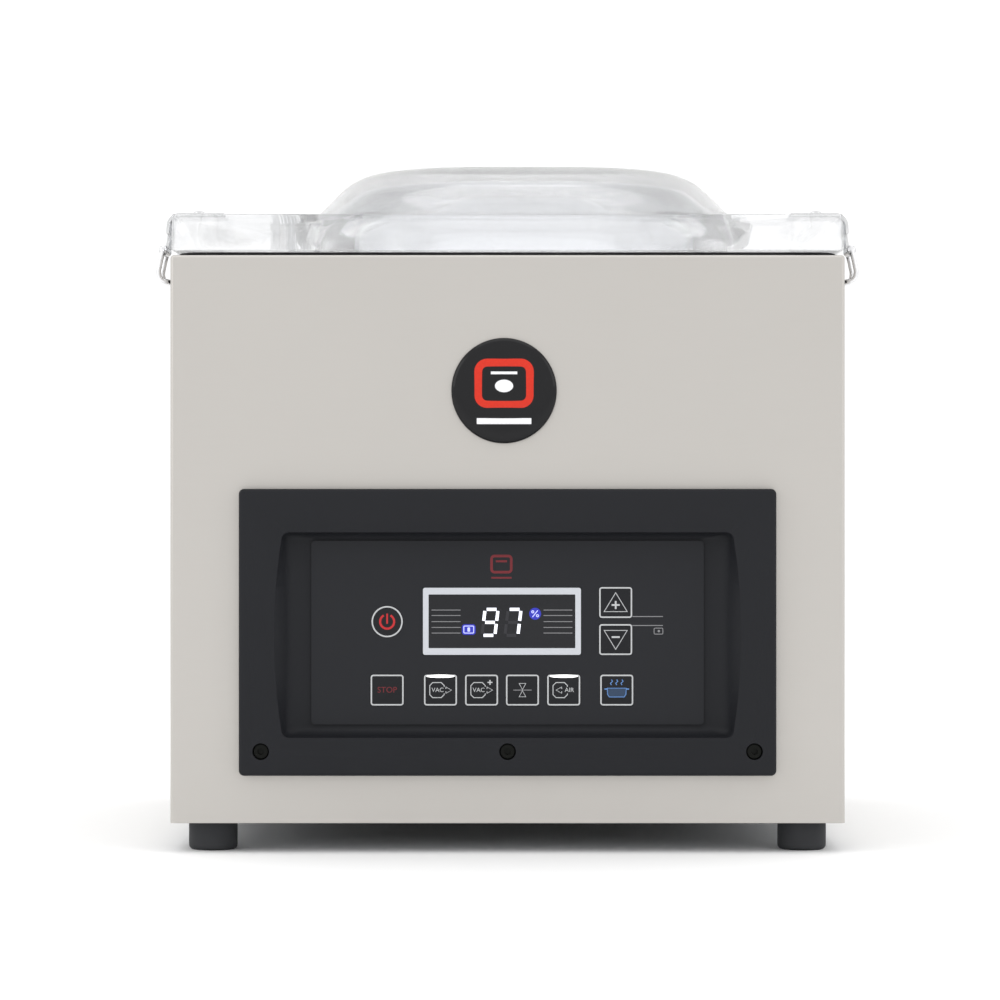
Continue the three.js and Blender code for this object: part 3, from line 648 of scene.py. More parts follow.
def gloss_plastic(name, base, roughness=0.07, level=0.22):
    """Lacquered plastic with a faint ripple and dust-fine specks."""
    finish = Finish(name)
    ripple = finish.noise(35, detail=2)
    specks = finish.noise(900, detail=2)
    tone = finish.mix(specks, shade(base, 0.9), shade(base, 1.15))
    return finish.surface(
        Base_Color=tone, Roughness=roughness + specks * 0.05, IOR_Level=level,
        Normal=finish.bump(ripple, 0.06, 0.0004),
    )


def panel_film(name, base):
    """Printed polyester: a fine even grain and a slow drift of tone."""
    finish = Finish(name)
    grain = finish.noise(3000, detail=2)
    drift = finish.noise(12, detail=2)
    tone = finish.mix(drift, shade(base, 0.94), shade(base, 1.08))
    return finish.surface(
        Base_Color=tone, Roughness=0.34 + grain * 0.12 + drift * 0.04, IOR_Level=0.2,
        Normal=finish.bump(grain, 0.12, 0.00003),
    )


def rubber(name, base, roughness=0.66):
    """Moulded rubber: dull, dusty bloom and a fine grain."""
    finish = Finish(name)
    bloom = finish.noise(70, detail=5, roughness=0.65)
    grain = finish.noise(1800, detail=3)
    tone = finish.mix(bloom, shade(base, 0.86), shade(base, 1.22))
    return finish.surface(
        Base_Color=tone, Roughness=roughness + bloom * 0.14, IOR_Level=0.3,
        Normal=finish.bump(grain + bloom * 0.4, 0.3, 0.00006),
    )


def ink(name, base, roughness=0.5):
    """Screen-printed ink with a slightly broken surface."""
    finish = Finish(name)
    weave = finish.noise(4000, detail=2)
    tone = finish.mix(weave, shade(base, 0.9), shade(base, 1.08))
    return finish.surface(Base_Color=tone, Roughness=roughness + weave * 0.1, IOR_Level=0.35)


def light(name, base, strength):
    """A lit sign, with the grain of the diffuser."""
    finish = Finish(name)
    grain = finish.noise(2500, detail=2)
    tone = finish.mix(grain, shade(base, 0.93), shade(base, 1.05))
    return finish.surface(
        Base_Color=shade(base, 0.3), Roughness=0.5, Emission_Color=tone, Emission_Strength=strength
    )


def clear_acrylic(name, base):
    """Clear cast acrylic: polished, with faint wiping marks."""
    finish = Finish(name)
    wiped = finish.noise(120, finish.stretched((1, 0.2, 1)), detail=4)
    wave = finish.noise(9, detail=1)
    return finish.surface(
        Base_Color=finish.mix(wave, shade(base, 0.995), base), Roughness=0.015 + wiped * 0.02,
        IOR=LID_INDEX, Alpha=LID_ALPHA, Transmission_Weight=1.0, Normal=finish.bump(wave, 0.04, 0.0008),
    )


def woven_tape(name, base=(0.27, 0.15, 0.065)):
    """PTFE-coated glass cloth: a plain weave under a brown skin."""
    finish = Finish(name)
    warp = finish.node(
        "ShaderNodeTexWave", {"bands_direction": "X"}, {"Vector": finish.place, "Scale": 420.0}, output="Fac"
    )
    weft = finish.node(
        "ShaderNodeTexWave", {"bands_direction": "Y"}, {"Vector": finish.place, "Scale": 420.0}, output="Fac"
    )
    weave = warp * weft
    tone = finish.mix(weave * 0.7 + finish.noise(90) * 0.3, shade(base, 0.7), shade(base, 1.25))
    return finish.surface(
        Base_Color=tone, Roughness=0.38 + weave * 0.2, Normal=finish.bump(weave, 0.5, 0.00012)
    )


def circuit_board(name, base=(0.012, 0.10, 0.036)):
    """Solder mask with copper tracks showing through."""
    finish = Finish(name)
    tracks = finish.node(
        "ShaderNodeTexBrick", {"offset": 0.37},
        {"Vector": finish.stretched((1, 1, 1)), "Scale": 90.0, "Mortar Size": 0.03}, output="Fac",
    )
    tone = finish.mix(tracks, base, shade(base, 2.4))
    return finish.surface(
        Base_Color=tone, Roughness=0.28 + tracks * 0.1, Normal=finish.bump(tracks, 0.3, 0.00005)
    )


def casting(name, base=(0.15, 0.17, 0.19)):
    """Painted casting: orange peel over a sandy surface."""
    finish = Finish(name)
    peel = finish.noise(420, detail=3)
    sand = finish.cells(700)
    tone = finish.mix(finish.noise(30, detail=5), shade(base, 0.85), shade(base, 1.15))
    return finish.surface(
        Base_Color=tone, Roughness=0.42 + peel * 0.15, Normal=finish.bump(peel + sand, 0.35, 0.0002)
    )


def laminations(name, base=(0.12, 0.12, 0.13)):
    """A stack of varnished iron sheets, seen edge on."""
    finish = Finish(name)
    stack = finish.node(
        "ShaderNodeTexWave", {"bands_direction": "Y"}, {"Vector": finish.place, "Scale": 260.0}, output="Fac"
    )
    tone = finish.mix(stack, shade(base, 0.6), shade(base, 1.5))
    return finish.surface(
        Base_Color=tone, Metallic=0.5, Roughness=0.5 + finish.noise(200) * 0.15,
        Normal=finish.bump(stack, 0.5, 0.0002),
    )


def floor_paper(name):
    """A pale seamless sheet."""
    finish = Finish(name)
    fibre = finish.noise(60, detail=4)
    return finish.surface(
        Base_Color=finish.mix(fibre, (0.95, 0.95, 0.95), (0.97, 0.97, 0.97)),
        Roughness=0.8 + fibre * 0.1, IOR_Level=0.1,
    )


LOOKS = {}


def make_looks(colours):
    """Every finish of the object, by the record's slot or a plain name."""
    steel, dark = tuple(colours.steel), tuple(colours.rubber)
    LOOKS.update(
        satin_steel=satin_steel("satin_steel", steel, grain=(0.03, 1, 1)),
        chamber_steel=satin_steel("chamber_steel", (0.55, 0.55, 0.55), grain=(0.05, 1, 0.05), metallic=0.95),
        bright_steel=bright_steel("bright_steel"),
        zinc_steel=plated_steel("zinc_steel"),
        aluminium=anodised("aluminium"),
        clear_acrylic=clear_acrylic("clear_acrylic", tuple(colours.acrylic)),
        black_plastic=moulded_plastic("black_plastic", tuple(colours.bezel)),
        gloss_black=gloss_plastic("gloss_black", (0.006, 0.006, 0.007)),
        dark_screw=bright_steel("dark_screw", (0.013, 0.0135, 0.0125), 0.3),
        panel_film=panel_film("panel_film", tuple(colours.film)),
        foot_rubber=rubber("foot_rubber", dark),
        seal_rubber=rubber("seal_rubber", shade(dark, 0.4), 0.55),
        silicone=rubber("silicone", (0.46, 0.066, 0.028), 0.5),
        seal_tape=woven_tape("seal_tape"),
        white_plastic=moulded_plastic("white_plastic", (0.78, 0.78, 0.75), 0.42, 0.4, 1500, 0.12),
        circuit_board=circuit_board("circuit_board"),
        cast_grey=casting("cast_grey"),
        core_steel=laminations("core_steel"),
        ink_white=ink("ink_white", tuple(colours.ink_white)),
        ink_red=ink("ink_red", tuple(colours.ink_red)),
        ink_blue=ink("ink_blue", tuple(colours.ink_blue)),
        ink_grey=ink("ink_grey", (0.055, 0.055, 0.06)),
        frame_white=ink("frame_white", (0.56, 0.58, 0.62)),
        badge_red=gloss_plastic("badge_red", (0.60, 0.030, 0.014), 0.12),
        badge_white=gloss_plastic("badge_white", (0.80, 0.80, 0.82), 0.12),
        screen=gloss_plastic("screen", (0.014, 0.0145, 0.017), 0.16),
        ink_red_dim=ink("ink_red_dim", (0.16, 0.014, 0.02)),
        ink_line=ink("ink_line", (0.24, 0.24, 0.25)),
        ink_navy=ink("ink_navy", (0.025, 0.05, 0.10)),
        key_film=panel_film("key_film", shade(tuple(colours.film), 0.72)),
        badge_black=gloss_plastic("badge_black", (0.009, 0.009, 0.010), 0.05),
        wire_steel=bright_steel("wire_steel", (0.80, 0.80, 0.81), 0.2),
        glow_white=light("glow_white", tuple(colours.glow_white), 1.6),
        glow_lamp=light("glow_lamp", (1.0, 1.0, 0.97), 2.5),
        glow_blue=light("glow_blue", tuple(colours.glow_blue), 0.22),
        glow_pale=light("glow_pale", (0.55, 0.58, 1.0), 1.0),
        ghost=panel_film("ghost", (0.033, 0.033, 0.038)),
        floor_paper=floor_paper("floor_paper"),
    )
    for node, cad in frame["nodes"].items():
        slots = {part["node"]: part["material_slot"] for part in frame["record"]["subparts"]}
        cad.data.materials.clear()
        cad.data.materials.append(LOOKS[slots[node]])


# ---------------------------------------------------------------- the pieces


class Builder:
    """What every operator of the sealer shares."""

    bl_options = {"REGISTER", "UNDO"}
    needs_looks = True

    def execute(self, context):
        if self.needs_looks and not LOOKS:
            raise RuntimeError("make the finishes first")
        self.build(context.scene.sealer_sizes, context.scene.sealer_colours)
        return {"FINISHED"}


class SEALER_OT_finishes(Builder, bpy.types.Operator):
    """Make every material, and give one to each CAD node"""

    bl_idname = "sealer.finishes"
    bl_label = "Finishes"
    needs_looks = False

    def build(self, sizes, colours):
        make_looks(colours)


class SEALER_OT_case(Builder, bpy.types.Operator):
    """Build the folded stainless case"""

    bl_idname = "sealer.case"
    bl_label = "Case"

    def build(self, sizes, colours):
        low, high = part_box("case_shell")
        piece = block("case_panels", low, high)

        def fold(a, b):
            upright = along(2, a, b) and near(a.y, low.y)
            over = near(a.z, high.z) and near(b.z, high.z) and not (near(a.y, high.y) and near(b.y, high.y))
            return upright or over

        round_edges(piece, fold, sizes.fold, 5)
        with editing(piece):
            choose("FACE", lambda centre, normal: normal.z < -0.9 or normal.y > 0.9)
            bpy.ops.mesh.delete(type="FACE")
        applied(piece, "SOLIDIFY", thickness=sizes.sheet, offset=-1, use_even_offset=True)
        holes = [
            rounded_block("mouth", at(-166.8, -191.8, 330), at(166.8, 151.8, 350), 21.8 * MM, 2, 12),
            rounded_block("panel_hole", at(-134.3, -240, 63.35), at(134.3, -215, 187.35), 4 * MM, 1),
        ]
        for side in SIDES.values():
            slot_low = at(side * 192 - 5, -197, 321.6)
            holes.append(rounded_block("slot", slot_low, Vector(slot_low) + Vector(at(10, 34, 10)), 2 * MM, 0))
        for screw in SCREWS:
            centre = middle(screw)
            holes.append(rod("hole", 2.3 * MM, (centre.x, -0.24, centre.z), (centre.x, -0.21, centre.z)))
        carve(piece, *holes)
        soften(piece, 0.2 * MM, 1, 50)
        finish_piece(piece, LOOKS["satin_steel"], "case", "satin_steel", "case_shell")


class SEALER_OT_feet(Builder, bpy.types.Operator):
    """Turn the rubber feet and their screws"""

    bl_idname = "sealer.feet"
    bl_label = "Feet"

    def build(self, sizes, colours):
        for node in FEET:
            centre = middle(node)
            spot = (centre.x, centre.y, 0)
            profile = [
                (5.4, 3.2), (5.4, 0.5), (5.9, 0), (11.6, 0), (12.5, 0.25), (13.3, 0.9), (13.8, 1.7), (14, 2.8),
                (14, 15.6), (13.8, 16.3), (13.3, 16.7), (8, 16.7),
            ]
            rubber_foot = turned(node + "_rubber", [at(*pair) for pair in profile], spot)
            finish_piece(rubber_foot, LOOKS["foot_rubber"], "case", "foot_rubber", node)
            stud = turned(
                node + "_screw",
                [at(*pair) for pair in [(3.6, 1.3), (4.2, 1.9), (4.2, 3.3), (3, 3.3), (3, 25)]], spot
            )
            carve(stud, rod("slot", 2 * MM, spot, (spot[0], spot[1], 2.6 * MM), 6))
            finish_piece(stud, LOOKS["zinc_steel"], "case", "zinc_steel")


class SEALER_OT_rear(Builder, bpy.types.Operator):
    """Put screws and a blank rating plate on the rear panel"""

    bl_idname = "sealer.rear"
    bl_label = "Rear fittings"

    def build(self, sizes, colours):
        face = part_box("rear_panel")[1].y
        heads = []
        places = [(side * 184, z) for side in SIDES.values() for z in (30, 110, 190, 270)]
        places += [(x, 25) for x in (-100, 0, 100)]
        for x, z in places:
            profile = [at(*pair) for pair in [(3.6, 0), (3.6, 0.5), (3.2, 1.3), (2.2, 1.9), (1.2, 2.1)]]
            head = turned("head", profile, (x * MM, face, z * MM), (0, 1, 0), 24)
            cross = [
                block("cross", at(x - 1.6, 1000 * face + 1.1, z - 0.35), at(x + 1.6, 1000 * face + 3, z + 0.35)),
                block("cross", at(x - 0.35, 1000 * face + 1.1, z - 1.6), at(x + 0.35, 1000 * face + 3, z + 1.6)),
            ]
            heads.append(carve(head, *cross))
        finish_piece(joined("rear_screws", *heads), LOOKS["zinc_steel"], "case", "zinc_steel")
        label = rounded_block("rating_plate", at(-150, 206.9, 34), at(-86, 207.4, 70), 2 * MM, 1)
        finish_piece(soften(label, 0.15 * MM), LOOKS["aluminium"], "case", "aluminium")
        lines = [[(-145 + 3 * row % 2, 64 - 5 * row), (-92 - 9 * (row % 3), 64 - 5 * row)] for row in range(6)]
        rows = drawn(
            "rating_rules", [[at(*point) for point in line] for line in lines], 0.4 * MM, flat=0.25,
            place=(0, 207.4 * MM, 0),
        )
        finish_piece(rows, LOOKS["ink_grey"], "case", "aluminium")


class SEALER_OT_badge(Builder, bpy.types.Operator):
    """Turn the domed badge and print a plain pouch sign on it"""

    bl_idname = "sealer.badge"
    bl_label = "Badge"

    def build(self, sizes, colours):
        low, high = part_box("badge")
        centre = (low + high) / 2
        profile = [
            (30, 0), (30, 0.9), (29.7, 1.5), (29, 2.1), (28, 2.6), (26.6, 3), (24, 3.25), (18, 3.4), (8, 3.48),
            (0.4, 3.5),
        ]
        disc = turned(
            "badge_disc", [at(*pair) for pair in profile], (centre.x, high.y, centre.z), (0, -1, 0), 96
        )
        finish_piece(disc, LOOKS["badge_black"], "case", "gloss_black", "badge")
        face = low.y + 0.12 * MM
        pouch = drawn("badge_pouch", [outline(14.6 * MM, 11.8 * MM, 5 * MM, steps=6)], 2.3 * MM, True,
                      flat=0.1, place=(centre.x, face, centre.z + 4 * MM))
        finish_piece(pouch, LOOKS["badge_red"], "case", "gloss_black")
        signs = [
            drawn("seal", [[at(-7.5, 10), at(7.5, 10)]], 0.9 * MM, flat=0.25,
                  place=(centre.x, face, centre.z)),
            plate("food", ellipse(5.2 * MM, 3.6 * MM), (centre.x, face, centre.z + 2.6 * MM), 0.4 * MM),
            drawn("bar", [[at(-15.5, 0), at(15.5, 0)]], 1.7 * MM, flat=0.14,
                  place=(centre.x, face, centre.z - 17.4 * MM)),
        ]
        finish_piece(joined("badge_signs", *signs), LOOKS["badge_white"], "case", "gloss_black")


class SEALER_OT_bezel(Builder, bpy.types.Operator):
    """Build the moulded bezel with its dished recess, and its screws"""

    bl_idname = "sealer.bezel"
    bl_label = "Bezel"

    def build(self, sizes, colours):
        low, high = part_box("front_bezel")
        front = low.y
        piece = rounded_block("bezel", low, (high.x, -0.2248, high.z), 3 * MM, 1)
        round_edges(piece, lambda a, b: near(a.y, front) and near(b.y, front), sizes.bezel_edge, 4)
        fuse(
            piece,
            rounded_block("tray", at(-133.5, -226.5, 64.85), at(133.5, -218.2, 185.85), 3 * MM, 1),
            *[rod("post", 3 * MM, at(x, -219, z), at(x, -212.8, z)) for x in (-96, 96) for z in (85.35, 165.35)],
        )
        film_x, film_z = 112.1, 52.65

        def dish(angle, bow):
            run = math.cos(math.radians(angle))
            points = outline(
                (film_x + 16.2 * run) * MM, (film_z + 5.65 * run) * MM, (2 + 2.4 * run) * MM,
                (0, (125.35 - 1.05 * run) * MM), 6, bow, 11,
            )
            return points, -front - 12.3 * MM * math.sin(math.radians(angle))

        rim = dish(0, sizes.dish_bow)
        deep = [dish(angle, 0) for angle in (26, 34, 44, 54, 64, 74, 82, 90)]
        tools = [lofted("dish", [(rim[0], -front + 2 * MM), rim, *deep], facing=True)]
        window_low, window_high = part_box("display_module")
        tools.append(rounded_block(
            "window", (window_low.x - 0.5 * MM, -0.24, window_low.z - 0.5 * MM),
            (window_high.x + 0.5 * MM, -0.2, window_high.z + 0.5 * MM), 1 * MM, 1,
        ))
        for key in KEYS:
            centre = middle(key)
            tools.append(rod("key_hole", 3.5 * MM, (centre.x, -0.224, centre.z), (centre.x, -0.214, centre.z)))
        for screw in SCREWS:
            centre = middle(screw)
            tools += [
                rod("counterbore", 4.75 * MM, (centre.x, front - 2 * MM, centre.z),
                    (centre.x, front + 5.5 * MM, centre.z), 40),
                rod("hole", 2.3 * MM, (centre.x, front, centre.z), (centre.x, front + 20 * MM, centre.z)),
            ]
        carve(piece, *tools)
        soften(piece, 0.35 * MM, 2, 40)
        finish_piece(piece, LOOKS["black_plastic"], "case", "black_plastic", "front_bezel")
        for screw in SCREWS:
            centre = middle(screw)
            profile = [
                (1.5, 0), (2, 0.5), (2, 11.8), (4.2, 11.8), (4.4, 12), (4.4, 15.1), (4.2, 15.6), (3.7, 15.8),
                (2.6, 15.8),
            ]
            head = turned(
                screw + "_metal", [at(*pair) for pair in profile], (centre.x, -0.2155, centre.z), (0, -1, 0)
            )
            carve(head, rod("hex", 2.1 * MM, (centre.x, -0.234, centre.z), (centre.x, -0.2291, centre.z), 6))
            finish_piece(head, LOOKS["dark_screw"], "case", "gloss_black", screw)


def sign_chamber(gap):
    """The outline of a chamber, open on its right where a word passes through."""
    return [[
        at(2.1, gap), at(2.1, 2.6), at(0.4, 4.3), at(-4.4, 4.3), at(-6.1, 2.6),
        at(-6.1, -2.6), at(-4.4, -4.3), at(0.4, -4.3), at(2.1, -2.6), at(2.1, -gap),
    ]]


def sign_arrow(x, way):
    """A hollow arrowhead."""
    return [[at(x, 0.75), at(x, 1.8), at(x + 3.2 * way, 0), at(x, -1.8), at(x, -0.75)]]


def key_signs(key, place, sizes):
    """The printed signs of one key, as (ink, meshes)."""
    fine = 0.26 * MM

    def strokes(lines, radius=fine, closed=False):
        return drawn("sign", lines, radius, closed, flat=sizes.ink / radius, place=place)

    def word(words, size, x, z=0.0):
        spot = (place[0] + x * MM, place[1], place[2] + z * MM)
        return written("word", words, size * MM, spot, 2 * sizes.ink)

    if key == "key_stop":
        return [("ink_red_dim", [word("STOP", 4.7, 0)])]
    if key == "key_power":
        ring = arc((0, 0), 4.0 * MM, 118, 422, 28)
        return [("ink_red", [strokes([ring], 0.6 * MM), strokes([[at(0, 4.6), at(0, -1.2)]], 0.5 * MM)])]
    if key == "key_vacuum":
        return [("ink_white", [strokes(sign_chamber(1.9)), word("VAC", 3.5, -1.6), strokes(sign_arrow(3.1, 1))])]
    if key == "key_vacuum_plus":
        cross = [[at(3.4, 4.4), at(6.2, 4.4)], [at(4.8, 5.8), at(4.8, 3)]]
        return [("ink_white", [
            strokes(sign_chamber(1.9)), word("VAC", 3.5, -1.6), strokes(sign_arrow(3.1, 1)),
            strokes(cross, 0.34 * MM),
        ])]
    if key == "key_seal":
        halves = [[at(-1.9, 3.8), at(1.9, 3.8), at(0, 0.3)], [at(-1.9, -3.8), at(1.9, -3.8), at(0, -0.3)]]
        line = [[at(-5.2, 0), at(5.2, 0)]]
        return [("ink_white", [strokes(halves, 0.3 * MM, True)]), ("ink_line", [strokes(line, 0.22 * MM)])]
    if key == "key_air":
        return [("ink_white", [strokes(sign_chamber(1.9)), word("AIR", 3.5, 3.2), strokes(sign_arrow(-1.2, -1))])]
    if key == "key_pot":
        body = [[
            at(-5.4, 1.1), at(-5.2, -2.4), at(-4.2, -3.9), at(4.2, -3.9), at(5.2, -2.4), at(5.4, 1.1),
        ]]
        handles = [[at(-7, 0.6), at(-5.4, 0.6)], [at(5.4, 0.6), at(7, 0.6)]]
        steam = [[at(x, 2.9), at(x - 0.6, 3.9), at(x + 0.6, 5), at(x, 6)] for x in (-3, 0, 3)]
        fill = plate("fill", [at(-5.2, 0.9), at(-5, -2.4), at(-4.1, -3.7), at(4.1, -3.7), at(5, -2.4), at(5.2, 0.9)],
                     place, 1.2 * sizes.ink)
        return [
            ("ink_blue", [strokes(body, closed=True), strokes(handles, 0.34 * MM), strokes(steam, 0.28 * MM)]),
            ("ink_navy", [fill]),
        ]
    way = 1 if key == "key_plus" else -1
    triangle = [[at(-6.6, -5.2 * way), at(6.6, -5.2 * way), at(0, 5.6 * way)]]
    marks = [[at(-2.3, -1.4 * way), at(2.3, -1.4 * way)]]
    if way > 0:
        marks.append([at(0, 0.9), at(0, -3.7)])
    return [("ink_white", [strokes(triangle, 0.4 * MM, True), strokes(marks, 0.5 * MM)])]


class SEALER_OT_keys(Builder, bpy.types.Operator):
    """Build the nine keys with their printed outlines and signs"""

    bl_idname = "sealer.keys"
    bl_label = "Keys"

    def build(self, sizes, colours):
        for key in KEYS:
            low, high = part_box(key)
            centre = (low + high) / 2
            place = (centre.x, low.y, centre.z)
            half_x, half_z = (high.x - low.x) / 2, (high.z - low.z) / 2
            if key == "key_power":
                cap = turned(
                    key + "_cap", [(half_x, 0), (half_x, 0.9 * MM), (half_x - 0.12 * MM, high.y - low.y),
                                   (0.3 * MM, high.y - low.y)],
                    (centre.x, high.y, centre.z), (0, -1, 0), 64,
                )
                line = [ellipse(half_x - sizes.line / 2, half_z - sizes.line / 2, steps=64)]
            else:
                cap = soften(rounded_block(key + "_cap", low, high, 1.5 * MM, 1), 0.1 * MM)
                line = [outline(half_x - sizes.line / 2, half_z - sizes.line / 2, 1.2 * MM, steps=6)]
            finish_piece(cap, LOOKS["key_film"], key, "panel_film", key)
            border = drawn(
                key + "_border", line, sizes.line / 2, True, flat=2 * sizes.ink / sizes.line, place=place
            )
            finish_piece(border, LOOKS["ink_white"], key, "panel_film")
            for ink_name, meshes in key_signs(key, place, sizes):
                sign = joined(f"{key}_{ink_name}", *meshes)
                finish_piece(sign, LOOKS[ink_name], key, "panel_film")
            if key in ("key_vacuum", "key_air"):
                spot = (place[0], place[1], high.z - 0.9 * MM)
                lamp = plate(key + "_lamp", ellipse(8 * MM, 0.85 * MM), spot, 3 * sizes.ink)
                finish_piece(lamp, LOOKS["glow_lamp"], key, "panel_film")


class SEALER_OT_display(Builder, bpy.types.Operator):
    """Build the display, its white frame, digits and signs, and the prints round it"""

    bl_idname = "sealer.display"
    bl_label = "Display"

    def build(self, sizes, colours):
        low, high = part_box("display_module")
        window = soften(rounded_block("display_window", low, high, 1 * MM, 1), 0.1 * MM)
        finish_piece(window, LOOKS["screen"], "case", "white_plastic", "display_module")
        front = low.y
        border = rounded_block(
            "display_frame", (low.x, front - 0.15 * MM, low.z), (high.x, front + 0.2 * MM, high.z), 1.2 * MM, 1
        )
        hole = rounded_block(
            "hole", (low.x + 3.2 * MM, front - 1 * MM, low.z + 3.8 * MM),
            (high.x - 3.2 * MM, front + 1 * MM, high.z - 3.8 * MM), 0.5 * MM, 1,
        )
        finish_piece(carve(border, hole), LOOKS["frame_white"], "case", "white_plastic")

        slant = math.tan(math.radians(7))
        half_x, half_z = 3.7, 7.4
        segments = {
            "a": ((-1, 1), (1, 1)), "b": ((1, 1), (1, 0)), "c": ((1, 0), (1, -1)), "d": ((-1, -1), (1, -1)),
            "e": ((-1, 0), (-1, -1)), "f": ((-1, 1), (-1, 0)), "g": ((-1, 0), (1, 0)),
        }

        def stroke(ends):
            (u0, v0), (u1, v1) = ((u * half_x, v * half_z) for u, v in ends)
            gap = 0.95 / math.hypot(u1 - u0, v1 - v0)
            line = []
            for part in (gap, 1 - gap):
                u, v = u0 + (u1 - u0) * part, v0 + (v1 - v0) * part
                line.append(at(u + v * slant, v))
            return line

        for name, digits, look in (("lit", ("abcdfg", "abc"), "glow_white"), ("unlit", ("e", "defg"), "ghost")):
            parts = []
            for x, lit in zip((-10.0, 3.1), digits):
                depth = 0.14 * MM if name == "lit" else 0.06 * MM
                parts.append(drawn(
                    "digit", [stroke(segments[key]) for key in lit], 0.86 * MM, flat=depth / (0.86 * MM),
                    place=(x * MM, front, 131.2 * MM),
                ))
            finish_piece(joined("digits_" + name, *parts), LOOKS[look], "case", "white_plastic")

        halos = [
            plate("halo", ellipse(3.4 * MM, 3.4 * MM), (15.7 * MM, front, 136.1 * MM), 0.1 * MM),
            plate("halo", outline(3.9 * MM, 3.0 * MM, 1.6 * MM), (-22.1 * MM, front, 127.1 * MM), 0.1 * MM),
        ]
        finish_piece(joined("display_halos", *halos), LOOKS["glow_blue"], "case", "white_plastic")
        thin = 0.3 * MM
        signs = [
            drawn("percent", [[at(-1.5, -1.9), at(1.5, 1.9)]], thin, flat=0.5, place=(15.7 * MM, front, 136.1 * MM)),
            drawn("percent", [ellipse(0.62 * MM, 0.62 * MM, at(side * 1.35, -side * 1.1), 12) for side in (1, -1)],
                  thin, True, flat=0.5, place=(15.7 * MM, front, 136.1 * MM)),
            drawn("pouch", [outline(2.8 * MM, 2.0 * MM, 0.5 * MM)], thin, True, flat=0.5,
                  place=(-22.1 * MM, front, 127.1 * MM)),
            plate("dot", outline(0.75 * MM, 1.2 * MM, 0.3 * MM), (-22.1 * MM, front, 127.1 * MM), 0.3 * MM),
        ]
        finish_piece(joined("display_signs", *signs), LOOKS["glow_pale"], "case", "white_plastic")

        rules = []
        for x0, x1 in ((-43.3, -26.8), (20.5, 36.9)):
            rules += [[at(x0, z), at(x1, z)] for z in (138.2, 135.1, 131.6, 128.3, 125.1)]
        lines = drawn("display_rules", rules, 0.22 * MM, flat=0.4, place=(0, front, 0))
        finish_piece(lines, LOOKS["ink_line"], "case", "white_plastic")

        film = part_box("control_membrane")[0].y
        rules = [[at(71.1, 134.5), at(88.5, 134.5)], [at(71.1, 129.4), at(88.5, 129.4)]]
        lines = [
            drawn("rule", rules, 0.24 * MM, flat=0.35, place=(0, film, 0)),
            drawn("sign", [outline(2.5 * MM, 1.7 * MM, 0.6 * MM)], 0.22 * MM, True, flat=0.35,
                  place=at(86, film / MM, 126.2)),
            plate("dot", ellipse(0.7 * MM, 0.7 * MM), at(86.2, film / MM, 126.2), 0.16 * MM),
        ]
        finish_piece(joined("panel_rules", *lines), LOOKS["ink_line"], "case", "panel_film")
        pouch = [
            drawn("sign", [outline(5.6 * MM, 4.6 * MM, 1.6 * MM)], 0.75 * MM, True, flat=0.12,
                  place=at(-3.5, film / MM, 164.4)),
            drawn("sign", [[at(-3.2, 0), at(3.2, 0)]], 0.6 * MM, flat=0.15, place=at(-3.5, film / MM, 166)),
            drawn("sign", [[at(-5.8, 0), at(5.8, 0)]], 0.5 * MM, flat=0.18, place=at(-3.5, film / MM, 156.6)),
        ]
        finish_piece(joined("panel_pouch", *pouch), LOOKS["ink_red_dim"], "case", "panel_film")


